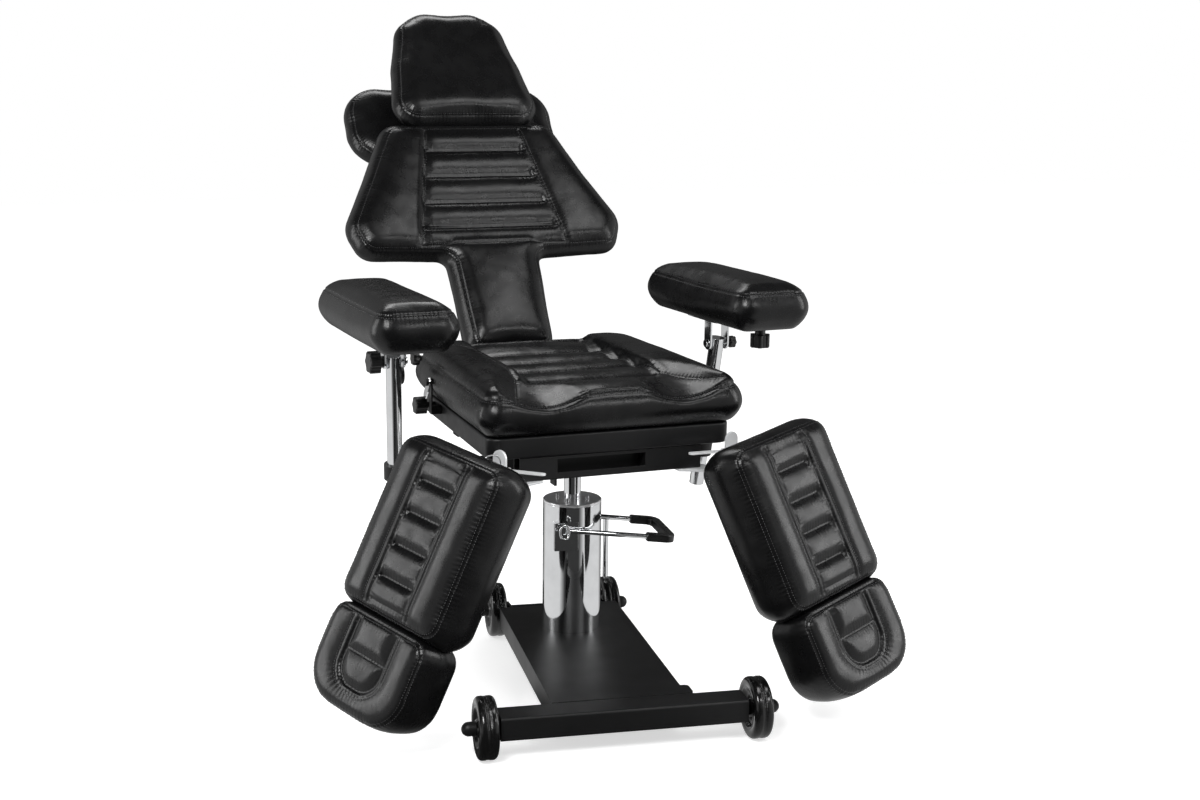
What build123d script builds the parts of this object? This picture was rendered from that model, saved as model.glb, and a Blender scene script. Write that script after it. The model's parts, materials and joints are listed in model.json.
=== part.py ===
from build123d import *
from math import cos, radians, sin
import os

# Hydraulic tattoo chair with split leg rests. Millimetres, +Z up, origin on the floor
# under the lifting column. The sitter looks along -Y and +X is the viewer's right.

os.makedirs("parts", exist_ok=True)

SIDES = (("left", -1), ("right", 1))

# Clearances
running_gap = 0.05
face_gap = 0.3
overrun = 2.0

# Base: a front beam, a plate behind it and four wheels, turned under the seat
base_turn = -8.3
wheel_radius = 61.5
wheel_width = 38.0
axle_radius = 8.0
hub_radius = 40.0
hub_boss_radius = 17.0
hub_recess = 9.0
tyre_edge = 9.0
tyre_ridge = 1.2
beam_half_length = 247.0
beam_front = -505.5
beam_depth = 63.0
beam_low = 42.5
beam_height = 46.8
beam_wall = 3.0
beam_corner = 5.0
wheel_side_gap = 6.0
plate_half_width = 136.0
plate_rear = 138.0
plate_thickness = 5.0
rail_width = 30.0
rail_wall = 3.0
rail_low = 44.5
rear_axle_y = 209.0
rear_wheel_inner = 114.5
bracket_thickness = 6.0
bracket_radius = 17.0
cap_nut_radius = 14.0
cap_nut_length = 28.0
lug_length = 44.0
lug_reach = 26.0
lug_height = 24.0
lug_y = -390.0
upright_radius = 6.5
upright_top = 250.0
upright_y = 284.0
upright_x = 146.0
upright_bend = 14.0

# Column: pump, cover, piston rod and the forked pump lever
column_radius = 64.0
column_top = 379.0
cover_wall = 2.0
lid_thickness = 6.0
flange_radius = 58.0
flange_thickness = 10.0
barrel_radius = 42.0
barrel_bore = 24.0
rod_radius = 18.5
rod_low = 165.0
guide_length = 60.0
lid_screw_radius = 4.0
lid_screw_height = 7.0
lid_screw_circle = 34.0
lid_screw_angles = (150, -30, 60, -120)
lever_height = 327.0
lever_pivot_x = -35.0
lever_half_gap = 72.0
lever_rod_radius = 5.5
lever_eye_radius = 11.0
lever_eye_length = 13.0
lever_pin_radius = 5.0
lever_pin_head = 8.0
lever_pin_head_length = 3.0
lever_droop = 7.2
lever_rod_length = 187.0
grip_length = 66.0
grip_thickness = 17.0
grip_width = 20.0
grip_corner = 26.0
saddle_width = 52.0
saddle_height = 62.0
saddle_depth = 65.2
saddle_drop = 14.0

# Seat frame under the cushion
frame_low = 485.0
frame_height = 50.0
board_thickness = 44.0
cushion_low = frame_low + frame_height + board_thickness
seat_front = -242.0
seat_rear = 345.0
seat_half_width = 277.0
seat_rear_half_width = 259.0
seat_front_corner = 30.0
seat_rear_corner = 75.0
board_inset = 9.0
board_rear = 300.0
seat_pad_height = 81.0
seat_panel_half = 153.0
seat_panel_margin = 12.0
seat_roll_front = -104.0
seat_roll_rear = 206.0
seat_roll_count = 3
seat_crown_rise = 18.0
seat_crown_top = 27.0
scoop_x = 150.0
scoop_depth = 22.0
scoop_radius = 150.0
scoop_tilt = 14.0
scoop_length = 220.0
frame_front = -227.0
front_member_depth = 40.0
front_member_half = 199.0
pocket_left = -119.0
pocket_right = 74.0
pocket_low = 499.0
pocket_high = 527.0
pocket_depth = 30.0
tab_width = 5.0
tab_drop = 14.0
frame_wall = 3.0
rail_x = 110.0
seat_rail_width = 30.0
rear_member_y = 200.0
hub_outer_radius = 38.0
hub_low = 448.0
hub_plate_thickness = 10.0
hub_plate_length = 200.0

# Recline lever and clamp knob on the left of the seat
release_y = 140.0
release_z = 628.0
lever_bracket_gap = 4.0
lever_bracket_width = 18.0
lever_bracket_thickness = 3.0
recline_lever_width = 18.0
recline_lever_length = 46.0
recline_lever_thickness = 4.0
recline_lever_angle = -50.0
rail_knob_y = 193.0
rail_knob_z = 566.0
rail_knob_radius = 20.0
rail_knob_stem = 21.0
rail_knob_length = 26.0

# Arm rests on sliding posts
post_radius = 16.5
post_top = (378.0, 78.0, 702.0)
post_foot = (362.0, 136.0, 350.0)
carrier_low = 425.0
carrier_height = 30.0
sleeve_radius = 24.0
sleeve_height = 34.0
riser_width = 30.0
arm_pad_width = 148.0
arm_pad_length = 432.0
arm_pad_low = 761.0
arm_pad_height = 71.5
arm_pad_corner = 26.0
arm_front_y = -188.0
arm_left_x = -396.0
arm_right_x = 385.0
arm_x = {-1: arm_left_x, 1: arm_right_x}
arm_yaw = {-1: 2.3, 1: 3.0}
clevis_hinge_z = 690.0
clevis_plate_low = 746.0
clevis_plate_length = 150.0
clevis_plate_width = 90.0
ear_thickness = 4.0
ear_width = 30.0
ear_gap = 3.0
hinge_bolt_radius = 5.0
bolt_head_radius = 8.5
bolt_head_length = 6.0
large_knob_radius = 25.0
large_knob_length = 24.0
small_knob_radius = 14.0
small_knob_length = 14.0
arm_knob_radius = {-1: large_knob_radius, 1: small_knob_radius}
arm_knob_length = {-1: large_knob_length, 1: small_knob_length}
arm_knob_stem = 8.0
under_knob_y = -101.0
under_knob_radius = 23.0
under_knob_length = 28.0
under_knob_drop = 24.0

# Leg rests: vertical swing pin, level tilt pin, pad, and a sliding foot pad
swing_x = 259.8
swing_y = -261.2
leg_height = 535.2
leg_forward = 32.1
leg_tilt = 65.0
leg_cant = 8.0
leg_swing = {-1: -61.8, 1: 19.8}
leg_half_width = 137.0
leg_length = 332.0
leg_thickness = 100.0
leg_corner = 28.0
leg_board_thickness = 12.0
leg_board_inset = 14.0
foot_gap = 18.0
foot_length = 180.0
foot_start = leg_length + foot_gap
foot_end = foot_start + foot_length
foot_half_width = 130.0
foot_corner = 26.0
foot_round = 72.0
foot_board_half = 80.0
foot_board_length = 98.0
foot_draw_in = 22.0
leg_panel_half = 52.0
leg_seam_shares = (0.8, 0.6, 0.4, 0.2)
roll_margin = 12.0
pivot_plate_thickness = 5.0
pivot_plate_root = 150.0
swing_pin_radius = 8.0
swing_sleeve_radius = 15.0
swing_sleeve_high = 526.0
swing_plate_thickness = 5.0
swing_plate_half = 56.0
tilt_pin_radius = 6.0
tilt_pin_back = 17.0
tilt_pin_down = 12.0
tilt_ear_radius = 13.0
tilt_ear_thickness = 5.0
ear_start = 47.0
knuckle_radius = 11.0
knuckle_start = 20.0
knuckle_end = 46.0
knuckle_leaf = 24.0
dome_radius = 17.0
dome_rise = 24.0
dome_back = 12.0
dome_sink = 4.0
slide_bar_radius = 8.0
slide_bar_x = 52.0
slide_bar_start = 95.0
guide_block_length = 60.0
guide_block_width = 32.0
guide_block_depth = 30.0
guide_shares = (0.55, 0.93)
release_pin_x = 30.0
release_pin_radius = 4.0
release_pin_head = 7.0
release_width = 16.0
release_thickness = 3.0
release_length = 72.0
release_angle = 20.0

# Backrest
back_origin_y = 213.4
back_origin_z = 427.5
back_recline = 35.9
back_thickness = 75.0
back_top = 885.0
back_top_half = 206.0
back_tip_s = 612.0
back_tip_half = 336.0
back_wing_low_s = 550.0
back_wing_low_half = 312.0
back_waist_s = 541.0
back_waist_half = 101.0
back_low_s = 282.0
back_low_half = 92.0
back_top_corner = 34.0
back_tip_corner = 40.0
back_waist_corner = 40.0
back_low_corner = 22.0
back_wing_corner = 30.0
back_panel_low = 556.0
back_panel_low_half = 183.0
back_panel_top = 876.0
back_panel_top_half = 122.0
back_seams = (556.0, 600.0, 671.0, 745.0, 818.0, 876.0)
back_board_thickness = 12.0
back_board_inset = 26.0
hinge_s = 214.0
back_bar_width = 40.0
back_bar_depth = 14.0
back_bar_x = 78.0
back_bar_top = 850.0
hinge_pin_radius = 8.0
hinge_eye_radius = 20.0
back_cross_shares = (0.25, 0.6)
side_plate_thickness = 6.0
socket_low = 790.0
socket_high = 850.0
socket_half = 98.0
socket_depth = 46.0

# Headrest and the wide rear pad
head_origin_y = 730.2
head_origin_z = 1174.8
head_recline = 39.6
head_thickness = 62.0
head_rod_radius = 6.0
head_rod_x = 45.0
head_rod_low = 700.0
head_rod_gap = 4.0
head_hinge_s = 968.0
head_bar_radius = 7.0
head_plate_thickness = 5.0
head_plate_width = 110.0
head_plate_length = 90.0
head_ear_radius = 10.5
head_ear_width = 12.0
head_ear_x = 24.0
head_low = 4.0
head_low_half = 169.0
head_wide = 52.0
head_wide_half = 173.0
head_mid = 165.0
head_mid_half = 157.0
head_high = 285.0
head_high_half = 127.0
head_top = 327.0
head_top_half = 112.0
head_low_corner = 24.0
head_side_bend = 60.0
head_top_corner = 20.0
rear_pad_s = 986.0
rear_pad_face = -118.5
rear_pad_thickness = 64.0
rear_pad_half = 265.0
rear_pad_height = 202.0
rear_pad_corner = 82.0
rear_bar_width = 40.0
rear_bar_thickness = 6.0
rear_bar_low = 740.0
rear_bar_step = 14.0
rear_bar_gap = 6.0
rear_plate_length = 240.0
rear_plate_width = 60.0
rear_crown_rise = 6.0
rear_crown_top = 9.0

# Upholstery forms: how far sides swell, backs draw in and faces crown
side_swell = 8.0
back_draw_in = 12.0
crown_rise = 9.0
crown_inset = 14.0
crown_top_rise = 14.0
crown_top_inset = 36.0
roll_rise = 11.0
roll_sink = 3.0
roll_root = 22.0

# Planes and levels that several pieces share
seat = Plane.XY
back_plane = Plane(Pos(0, back_origin_y, back_origin_z) * Rot(X=90 - back_recline))
head_plane = Plane(Pos(0, head_origin_y, head_origin_z) * Rot(X=90 - head_recline))
bar_front = -back_thickness - back_board_thickness
bar_back = bar_front - back_bar_depth
hinge_n = (bar_front + bar_back) / 2
hinge_y = back_plane.from_local_coords((0, hinge_s, hinge_n)).Y
hinge_z = back_plane.from_local_coords((0, hinge_s, hinge_n)).Z
plate_x = back_bar_x + back_bar_width / 2 + face_gap
head_rod_n = bar_front - head_rod_radius - head_rod_gap
rear_bar_n = bar_front - socket_depth + rear_bar_gap


def side_face(carrier, x, y, z):
    """Plane that looks along the carrier's x; its own x and y are the carrier's y and z."""
    return Plane(carrier.from_local_coords((x, y, z)), x_dir=carrier.y_dir, z_dir=carrier.x_dir)


def front_face(carrier, x, y, z):
    """Plane that looks against the carrier's y; its own x and y are the carrier's x and z."""
    return Plane(carrier.from_local_coords((x, y, z)), x_dir=carrier.x_dir, z_dir=-carrier.y_dir)


def top_face(carrier, x, y, z):
    """Plane parallel to the carrier, through one of its points."""
    return Plane(carrier.from_local_coords((x, y, z)), x_dir=carrier.x_dir, z_dir=carrier.z_dir)


def point_face(start, end):
    """Plane at a start point that looks towards an end point."""
    return Plane(origin=start, z_dir=Vector(*end) - Vector(*start))


def keep(piece, name):
    """Label a finished piece and write its file."""
    piece.part.label = name
    export_step(piece.part, f"parts/{name}.step")


def block(carrier, x, y, z):
    """Plain block between two values of each of the carrier's axes."""
    with BuildPart() as made:
        with BuildSketch(top_face(carrier, sum(x) / 2, sum(y) / 2, z[0])):
            Rectangle(x[1] - x[0], y[1] - y[0])
        extrude(amount=z[1] - z[0])
    return made.part


def rounded_block(plane, width, length, height, corner):
    """Upright block on a plane with rounded corners."""
    with BuildPart() as made:
        with BuildSketch(plane):
            RectangleRounded(width, length, corner)
        extrude(amount=height)
    return made.part


def disc(plane, radius, length, bore=0):
    """Round bar or washer that stands on a plane."""
    with BuildPart() as made:
        with BuildSketch(plane):
            Circle(radius)
            if bore:
                Circle(bore, mode=Mode.SUBTRACT)
        extrude(amount=length)
    return made.part


def box_tube(plane, width, height, length, wall, corner):
    """Open rectangular tube that runs out of a plane."""
    with BuildPart() as made:
        with BuildSketch(plane):
            RectangleRounded(width, height, corner)
            RectangleRounded(width - 2 * wall, height - 2 * wall, corner - wall / 2, mode=Mode.SUBTRACT)
        extrude(amount=length)
    return made.part


def rounded_outline(points, radii):
    """Closed outline through points, each corner rounded by its own radius."""
    with BuildSketch() as outline:
        with BuildLine():
            FilletPolyline(*points, radius=list(radii), close=True)
        make_face()
    return outline.sketch


def mirrored(half):
    """Points of a right half, then the same points on the left in reverse."""
    return [*half, *[(-x, y) for x, y in reversed(half)]]


def pad(outline, carrier, low, high, rise=crown_rise, top=crown_top_rise):
    """Cushion: sides drawn in at the back and swelling, a seam edge, and a crowned face."""
    walls = ((low, -back_draw_in), ((low + high) / 2, side_swell), (high, 0))
    crown = ((high, 0), (high + rise, -crown_inset), (high + top, -crown_top_inset))
    with BuildPart() as made:
        for levels in (walls, crown):
            for level, grow in levels:
                with BuildSketch(carrier.offset(level)):
                    add(outline)
                    if grow:
                        offset(amount=grow)
            loft()
    return made.part


def rolls(carrier, seams, half, level, rise=roll_rise):
    """Row of soft rolls across a face, pinched along straight seams."""
    with BuildPart() as made:
        with BuildSketch(side_face(carrier, -half, 0, level)):
            with BuildLine():
                for low, high in zip(seams, seams[1:]):
                    ThreePointArc((low, 0), ((low + high) / 2, rise), (high, 0))
                Polyline((seams[-1], 0), (seams[-1], -roll_root), (seams[0], -roll_root), (seams[0], 0))
            make_face()
        extrude(amount=2 * half)
    return made.part


def lobed_knob(plane, radius, length, lobes=6, lobe_share=0.3):
    """Clamp knob with lobes round its rim."""
    with BuildPart() as made:
        with BuildSketch(plane):
            Circle(radius * (1 - lobe_share / 2))
            with PolarLocations(radius * (1 - lobe_share), lobes):
                Circle(radius * lobe_share)
        extrude(amount=length)
        chamfer(made.faces().sort_by(Axis(plane.origin, plane.z_dir))[-1].edges(), radius * lobe_share / 3)
    return made.part


# Base

base_plane = Plane(Rot(Z=base_turn))
beam_y = beam_front + beam_depth / 2
beam_z = beam_low + beam_height / 2
beam_rear = beam_front + beam_depth
plate_top = beam_low + beam_height
rail_height = plate_top - plate_thickness - rail_low

with BuildPart() as front_beam:
    add(box_tube(side_face(base_plane, -beam_half_length + beam_wall, beam_y, beam_z),
                 beam_depth, beam_height, 2 * (beam_half_length - beam_wall), beam_wall, beam_corner))
    for _, side in SIDES:
        with BuildSketch(side_face(base_plane, side * beam_half_length, beam_y, beam_z)):
            RectangleRounded(beam_depth, beam_height, beam_corner)
        extrude(amount=-side * beam_wall)
keep(front_beam, "front_beam")

with BuildPart() as base_top_plate:
    with BuildSketch(top_face(base_plane, 0, (beam_rear + plate_rear) / 2, plate_top - plate_thickness)):
        Rectangle(2 * plate_half_width, plate_rear - beam_rear)
    extrude(amount=plate_thickness)
keep(base_top_plate, "base_top_plate")

rail_z = rail_low + rail_height / 2
with BuildPart() as base_rails:
    for _, side in SIDES:
        with BuildSketch(front_face(base_plane, side * (plate_half_width - rail_width / 2), plate_rear,
                                    rail_z)):
            Rectangle(rail_width, rail_height)
            Rectangle(rail_width - 2 * rail_wall, rail_height - 2 * rail_wall, mode=Mode.SUBTRACT)
        extrude(amount=plate_rear - beam_rear)
    add(block(base_plane, (rail_width - plate_half_width, plate_half_width - rail_width),
              (plate_rear - rail_width, plate_rear), (rail_low, rail_low + rail_height)))
    add(rounded_block(top_face(base_plane, plate_half_width + lug_reach / 2, lug_y, rail_z - lug_height / 2),
                      lug_reach, lug_length, lug_height, lug_reach / 3))
keep(base_rails, "base_rails")

bracket_x = rear_wheel_inner - wheel_side_gap
wheel_inner = {"front": beam_half_length + wheel_side_gap, "rear": rear_wheel_inner}

with BuildPart() as rear_axle_brackets:
    for _, side in SIDES:
        inner = side * bracket_x - (bracket_thickness if side > 0 else 0)
        with BuildSketch(side_face(base_plane, inner, 0, 0)):
            with Locations((rear_axle_y, wheel_radius)):
                Circle(bracket_radius)
            Polygon((plate_rear, rail_low), (rear_axle_y, wheel_radius - bracket_radius),
                    (rear_axle_y, wheel_radius + bracket_radius), (plate_rear, rail_low + rail_height),
                    align=None)
            if side > 0:
                tail = upright_y + upright_radius - rear_axle_y
                with Locations((rear_axle_y + tail / 2, wheel_radius)):
                    Rectangle(tail, bracket_radius)
            with Locations((rear_axle_y, wheel_radius)):
                Circle(axle_radius, mode=Mode.SUBTRACT)
        extrude(amount=bracket_thickness)
keep(rear_axle_brackets, "rear_axle_brackets")

upright_points = [base_plane.from_local_coords(point) for point in (
    (bracket_x, upright_y, wheel_radius),
    (upright_x, upright_y, wheel_radius),
    (upright_x, upright_y, upright_top))]
with BuildPart() as rear_upright:
    with BuildLine() as upright_path:
        FilletPolyline(*upright_points, radius=upright_bend)
    with BuildSketch(point_face(upright_points[0], upright_points[1])):
        Circle(upright_radius)
    sweep(path=upright_path.line)
keep(rear_upright, "rear_upright")

with BuildPart() as wheel_axles:
    for _, side in SIDES:
        reach = wheel_side_gap + wheel_width + face_gap
        start = side * beam_half_length
        length = side * reach
        add(disc(side_face(base_plane, start, beam_y, wheel_radius), axle_radius, length))
        add(disc(side_face(base_plane, start, beam_y, wheel_radius), hub_boss_radius,
                 side * (wheel_side_gap - face_gap)))
        add(disc(side_face(base_plane, side * bracket_x, rear_axle_y, wheel_radius), hub_boss_radius,
                 side * (wheel_side_gap - face_gap)))
    rear_reach = rear_wheel_inner + wheel_width + face_gap
    add(disc(side_face(base_plane, -rear_reach, rear_axle_y, wheel_radius), axle_radius, 2 * rear_reach))
keep(wheel_axles, "wheel_axles")

with BuildPart() as axle_cap_nuts:
    for inner, axle_y in ((wheel_inner["front"], beam_y), (wheel_inner["rear"], rear_axle_y)):
        for _, side in SIDES:
            start = side * (inner + wheel_width + face_gap)
            shank = cap_nut_length - cap_nut_radius
            add(disc(side_face(base_plane, start, axle_y, wheel_radius), cap_nut_radius, side * shank))
            with Locations(base_plane.from_local_coords((start + side * shank, axle_y, wheel_radius))):
                Sphere(cap_nut_radius)
keep(axle_cap_nuts, "axle_cap_nuts")


def wheel(inner, side, axle_y):
    """Black wheel: a ribbed tyre on a hub with recessed faces, round one axle."""
    centre = side * (inner + wheel_width / 2)
    half = wheel_width / 2
    face = Plane(base_plane.from_local_coords((centre, axle_y, wheel_radius)),
                 x_dir=base_plane.x_dir, z_dir=-base_plane.y_dir)
    axis = Axis(face.origin, face.x_dir)
    with BuildPart() as made:
        with BuildSketch(face) as tyre:
            with Locations((0, (hub_radius + running_gap + wheel_radius) / 2)):
                Rectangle(wheel_width, wheel_radius - hub_radius - running_gap)
            fillet(tyre.vertices().sort_by(Axis.Y)[-2:], tyre_edge)
            with Locations((0, wheel_radius - tyre_ridge)):
                Rectangle(2 * tyre_ridge, 2 * tyre_ridge, mode=Mode.SUBTRACT)
        revolve(axis=axis)
    with BuildPart() as hub:
        with BuildSketch(face):
            with BuildLine():
                Polyline((-half, axle_radius + running_gap), (half, axle_radius + running_gap),
                         (half, hub_boss_radius), (half - hub_recess, hub_boss_radius + hub_recess / 2),
                         (half - hub_recess, hub_radius - hub_recess), (half, hub_radius),
                         (-half, hub_radius), (hub_recess - half, hub_radius - hub_recess),
                         (hub_recess - half, hub_boss_radius + hub_recess / 2), (-half, hub_boss_radius),
                         close=True)
            make_face()
        revolve(axis=axis)
    with BuildPart() as both:
        add(made.part)
        add(hub.part, mode=Mode.ADD)
    return both


for end, axle_y in (("front", beam_y), ("rear", rear_axle_y)):
    for name, side in SIDES:
        keep(wheel(wheel_inner[end], side, axle_y), f"wheel_{end}_{name}")

# Column

with BuildPart() as pump_flange:
    add(disc(top_face(base_plane, 0, 0, plate_top), flange_radius, flange_thickness))
keep(pump_flange, "pump_flange")

lid_low = column_top - lid_thickness
barrel_low = plate_top + flange_thickness
with BuildPart() as pump_barrel:
    add(disc(top_face(base_plane, 0, 0, barrel_low), barrel_radius, lid_low - guide_length - barrel_low,
             barrel_bore))
    add(disc(top_face(base_plane, 0, 0, lid_low - guide_length), barrel_radius, guide_length,
             rod_radius + running_gap))
keep(pump_barrel, "pump_barrel")

with BuildPart() as pump_cover:
    add(disc(top_face(base_plane, 0, 0, plate_top), column_radius, lid_low - plate_top,
             column_radius - cover_wall))
keep(pump_cover, "pump_cover")

with BuildPart() as pump_lid:
    add(disc(top_face(base_plane, 0, 0, lid_low), column_radius, lid_thickness,
             rod_radius + running_gap))
    chamfer(pump_lid.faces().sort_by(Axis.Z)[-1].edges().sort_by(SortBy.LENGTH)[-1], lid_thickness / 4)
keep(pump_lid, "pump_lid")

with BuildPart() as lid_screws:
    for angle in lid_screw_angles:
        turn = radians(angle)
        add(disc(top_face(base_plane, lid_screw_circle * cos(turn), lid_screw_circle * sin(turn), column_top),
                 lid_screw_radius, lid_screw_height))
keep(lid_screws, "lid_screws")

# Saddles on both faces of the cover carry the pins of the pump lever
with BuildPart() as lever_saddles:
    for _, side in SIDES:
        y = sorted((side * (column_radius - saddle_drop), side * saddle_depth))
        add(block(base_plane, (lever_pivot_x - saddle_width / 3, lever_pivot_x + 2 * saddle_width / 3), y,
                  (lever_height - saddle_height + saddle_drop, lever_height + saddle_drop)))
    add(disc(top_face(base_plane, 0, 0, plate_top), column_radius, column_top), mode=Mode.SUBTRACT)
    pin_reach = lever_half_gap + lever_eye_length / 2 + face_gap - saddle_depth
    for _, side in SIDES:
        pin_plane = front_face(base_plane, lever_pivot_x, side * saddle_depth, lever_height)
        cap_plane = front_face(base_plane, lever_pivot_x, side * (saddle_depth + pin_reach), lever_height)
        add(disc(pin_plane, lever_pin_radius, -side * pin_reach))
        add(disc(cap_plane, lever_pin_head, -side * lever_pin_head_length))
keep(lever_saddles, "lever_saddles")

lever_plane = Plane(base_plane.location * Pos(lever_pivot_x, 0, lever_height) * Rot(Y=lever_droop))
with BuildPart() as lever_fork:
    for _, side in SIDES:
        eye = front_face(lever_plane, 0, side * lever_half_gap + lever_eye_length / 2, 0)
        add(disc(side_face(lever_plane, lever_eye_radius / 2, side * lever_half_gap, 0), lever_rod_radius,
                 lever_rod_length - lever_eye_radius / 2))
        add(disc(eye, lever_eye_radius, lever_eye_length))
        add(disc(eye.offset(-overrun), lever_pin_radius + running_gap, lever_eye_length + 2 * overrun),
            mode=Mode.SUBTRACT)
keep(lever_fork, "lever_fork")

with BuildPart() as lever_grip:
    grip_low = -grip_thickness / 2
    with BuildSketch(top_face(lever_plane, lever_rod_length + grip_length / 2, 0, grip_low)) as outer:
        Rectangle(grip_length, 2 * lever_half_gap + grip_width)
        fillet(outer.vertices().sort_by(Axis.X)[-2:], grip_corner)
    extrude(amount=grip_thickness)
    loop_middle = lever_rod_length + (grip_length - grip_width) / 2
    with BuildSketch(top_face(lever_plane, loop_middle, 0, grip_low)) as inner:
        Rectangle(grip_length - grip_width, 2 * lever_half_gap - grip_width)
        fillet(inner.vertices().sort_by(Axis.X)[-2:], grip_corner / 2)
    extrude(amount=grip_thickness, mode=Mode.SUBTRACT)
    fillet(lever_grip.edges().group_by(Axis(lever_plane.origin, lever_plane.z_dir))[-1], grip_thickness / 4)
keep(lever_grip, "lever_grip")

rod_high = frame_low + frame_height - hub_plate_thickness
with BuildPart() as piston_rod:
    add(disc(Plane.XY.offset(rod_low), rod_radius, rod_high - face_gap - rod_low))
keep(piston_rod, "piston_rod")

# Seat

frame_high = frame_low + frame_height
with BuildPart() as swivel_hub:
    add(disc(Plane.XY.offset(hub_low), hub_outer_radius, rod_high - hub_low, rod_radius + running_gap))
    add(block(seat, (seat_rail_width / 2 - rail_x, rail_x - seat_rail_width / 2),
              (-hub_plate_length / 2, hub_plate_length / 2), (rod_high, frame_high)))
keep(swivel_hub, "swivel_hub")

member_z = frame_low + frame_height / 2
with BuildPart() as seat_front_member:
    add(box_tube(side_face(seat, -front_member_half, frame_front + front_member_depth / 2, member_z),
                 front_member_depth, frame_height, 2 * front_member_half, frame_wall, frame_wall))
    add(block(seat, (pocket_left, pocket_right), (frame_front - overrun, frame_front + pocket_depth),
              (pocket_low, pocket_high)), mode=Mode.SUBTRACT)
    add(block(seat, (pocket_left - tab_width, pocket_left),
              (frame_front + frame_wall, frame_front + pocket_depth),
              (frame_low - tab_drop, frame_high - frame_wall)))
    add(block(seat, (pocket_right, pocket_right + tab_width),
              (frame_front + frame_wall, frame_front + pocket_depth),
              (frame_low + frame_wall, frame_high - frame_wall)))
keep(seat_front_member, "seat_front_member")

with BuildPart() as seat_rear_member:
    add(box_tube(side_face(seat, -front_member_half, rear_member_y + front_member_depth / 2, member_z),
                 front_member_depth, frame_height, 2 * front_member_half, frame_wall, frame_wall))
keep(seat_rear_member, "seat_rear_member")

with BuildPart() as seat_frame_rails:
    for _, side in SIDES:
        add(box_tube(front_face(seat, side * rail_x, rear_member_y, member_z), seat_rail_width, frame_height,
                     rear_member_y - frame_front - front_member_depth, frame_wall, frame_wall))
keep(seat_frame_rails, "seat_frame_rails")

taper = (seat_half_width - seat_rear_half_width) / (seat_rear - seat_front)


def seat_half_at(y, inset=0):
    """Half width of the seat at a depth."""
    return seat_half_width - inset - taper * (y - seat_front)


board_front = seat_front + board_inset
board_half = [(seat_half_at(y, board_inset), y) for y in (board_front, board_rear)]
board_outline = rounded_outline(
    mirrored(board_half), [seat_front_corner, seat_front_corner, seat_front_corner, seat_front_corner])
with BuildPart() as seat_board:
    with BuildSketch(Plane.XY.offset(frame_high)):
        add(board_outline)
    extrude(amount=board_thickness)
keep(seat_board, "seat_board")

# Seat cushion: a panel of cross rolls between raised side bolsters, scooped for the thighs
seat_outline = rounded_outline(
    mirrored([(seat_half_width, seat_front), (seat_rear_half_width, seat_rear)]),
    [seat_front_corner, seat_rear_corner, seat_rear_corner, seat_front_corner])
seat_seam = cushion_low + seat_pad_height
roll_step = (seat_roll_rear - seat_roll_front) / seat_roll_count
seat_seams = [seat_front + seat_panel_margin,
              *[seat_roll_front + roll_step * n for n in range(seat_roll_count + 1)],
              seat_rear - seat_panel_margin]
seat_rolls = rolls(Plane.XY, seat_seams, seat_panel_half, seat_seam, rise=roll_rise)

with BuildPart() as seat_cushion:
    add(pad(seat_outline, Plane.XY, cushion_low, seat_seam, rise=seat_crown_rise, top=seat_crown_top))
    add(block(seat, (-seat_panel_half, seat_panel_half), (seat_seams[0], seat_seams[-1]),
              (seat_seam - roll_root, seat_seam + seat_crown_top + overrun)), mode=Mode.SUBTRACT)
    add(seat_rolls)
    for _, side in SIDES:
        scoop_z = seat_seam - scoop_depth + scoop_radius / cos(radians(scoop_tilt))
        scoop = Plane(Pos(side * scoop_x, seat_front, scoop_z) * Rot(X=90 + scoop_tilt))
        add(disc(scoop.offset(-scoop_length), scoop_radius, scoop_length + scoop_radius), mode=Mode.SUBTRACT)
keep(seat_cushion, "seat_cushion")

# Arm posts stand in sleeves on a cross tube under the seat frame


def post_point(side, z):
    """Point on the axis of a post at a height."""
    share = (post_top[2] - z) / (post_top[2] - post_foot[2])
    return Vector(side * (post_top[0] + share * (post_foot[0] - post_top[0])),
                  post_top[1] + share * (post_foot[1] - post_top[1]), z)


def post_plane(side, z):
    """Plane square to a post, looking up along it."""
    upward = post_point(side, post_top[2]) - post_point(side, z)
    return Plane(origin=post_point(side, z), x_dir=(1, 0, 0), z_dir=upward)


carrier_mid = carrier_low + carrier_height / 2
carrier_y = post_point(1, carrier_mid).Y
carrier_half = post_point(1, carrier_mid).X
carrier_depth = (carrier_y - carrier_height / 2, carrier_y + carrier_height / 2)
with BuildPart() as arm_carrier:
    add(block(seat, (-carrier_half, carrier_half), carrier_depth,
              (carrier_low, carrier_low + carrier_height)))
    for _, side in SIDES:
        add(block(seat, (side * rail_x - riser_width / 2, side * rail_x + riser_width / 2), carrier_depth,
                  (carrier_low + carrier_height, frame_low)))
        sleeve = post_plane(side, carrier_mid).offset(-sleeve_height / 2)
        add(disc(sleeve, sleeve_radius, sleeve_height))
    for _, side in SIDES:
        sleeve = post_plane(side, carrier_mid).offset(-sleeve_height)
        add(disc(sleeve, post_radius + running_gap, 2 * sleeve_height), mode=Mode.SUBTRACT)
keep(arm_carrier, "arm_carrier")

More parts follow.
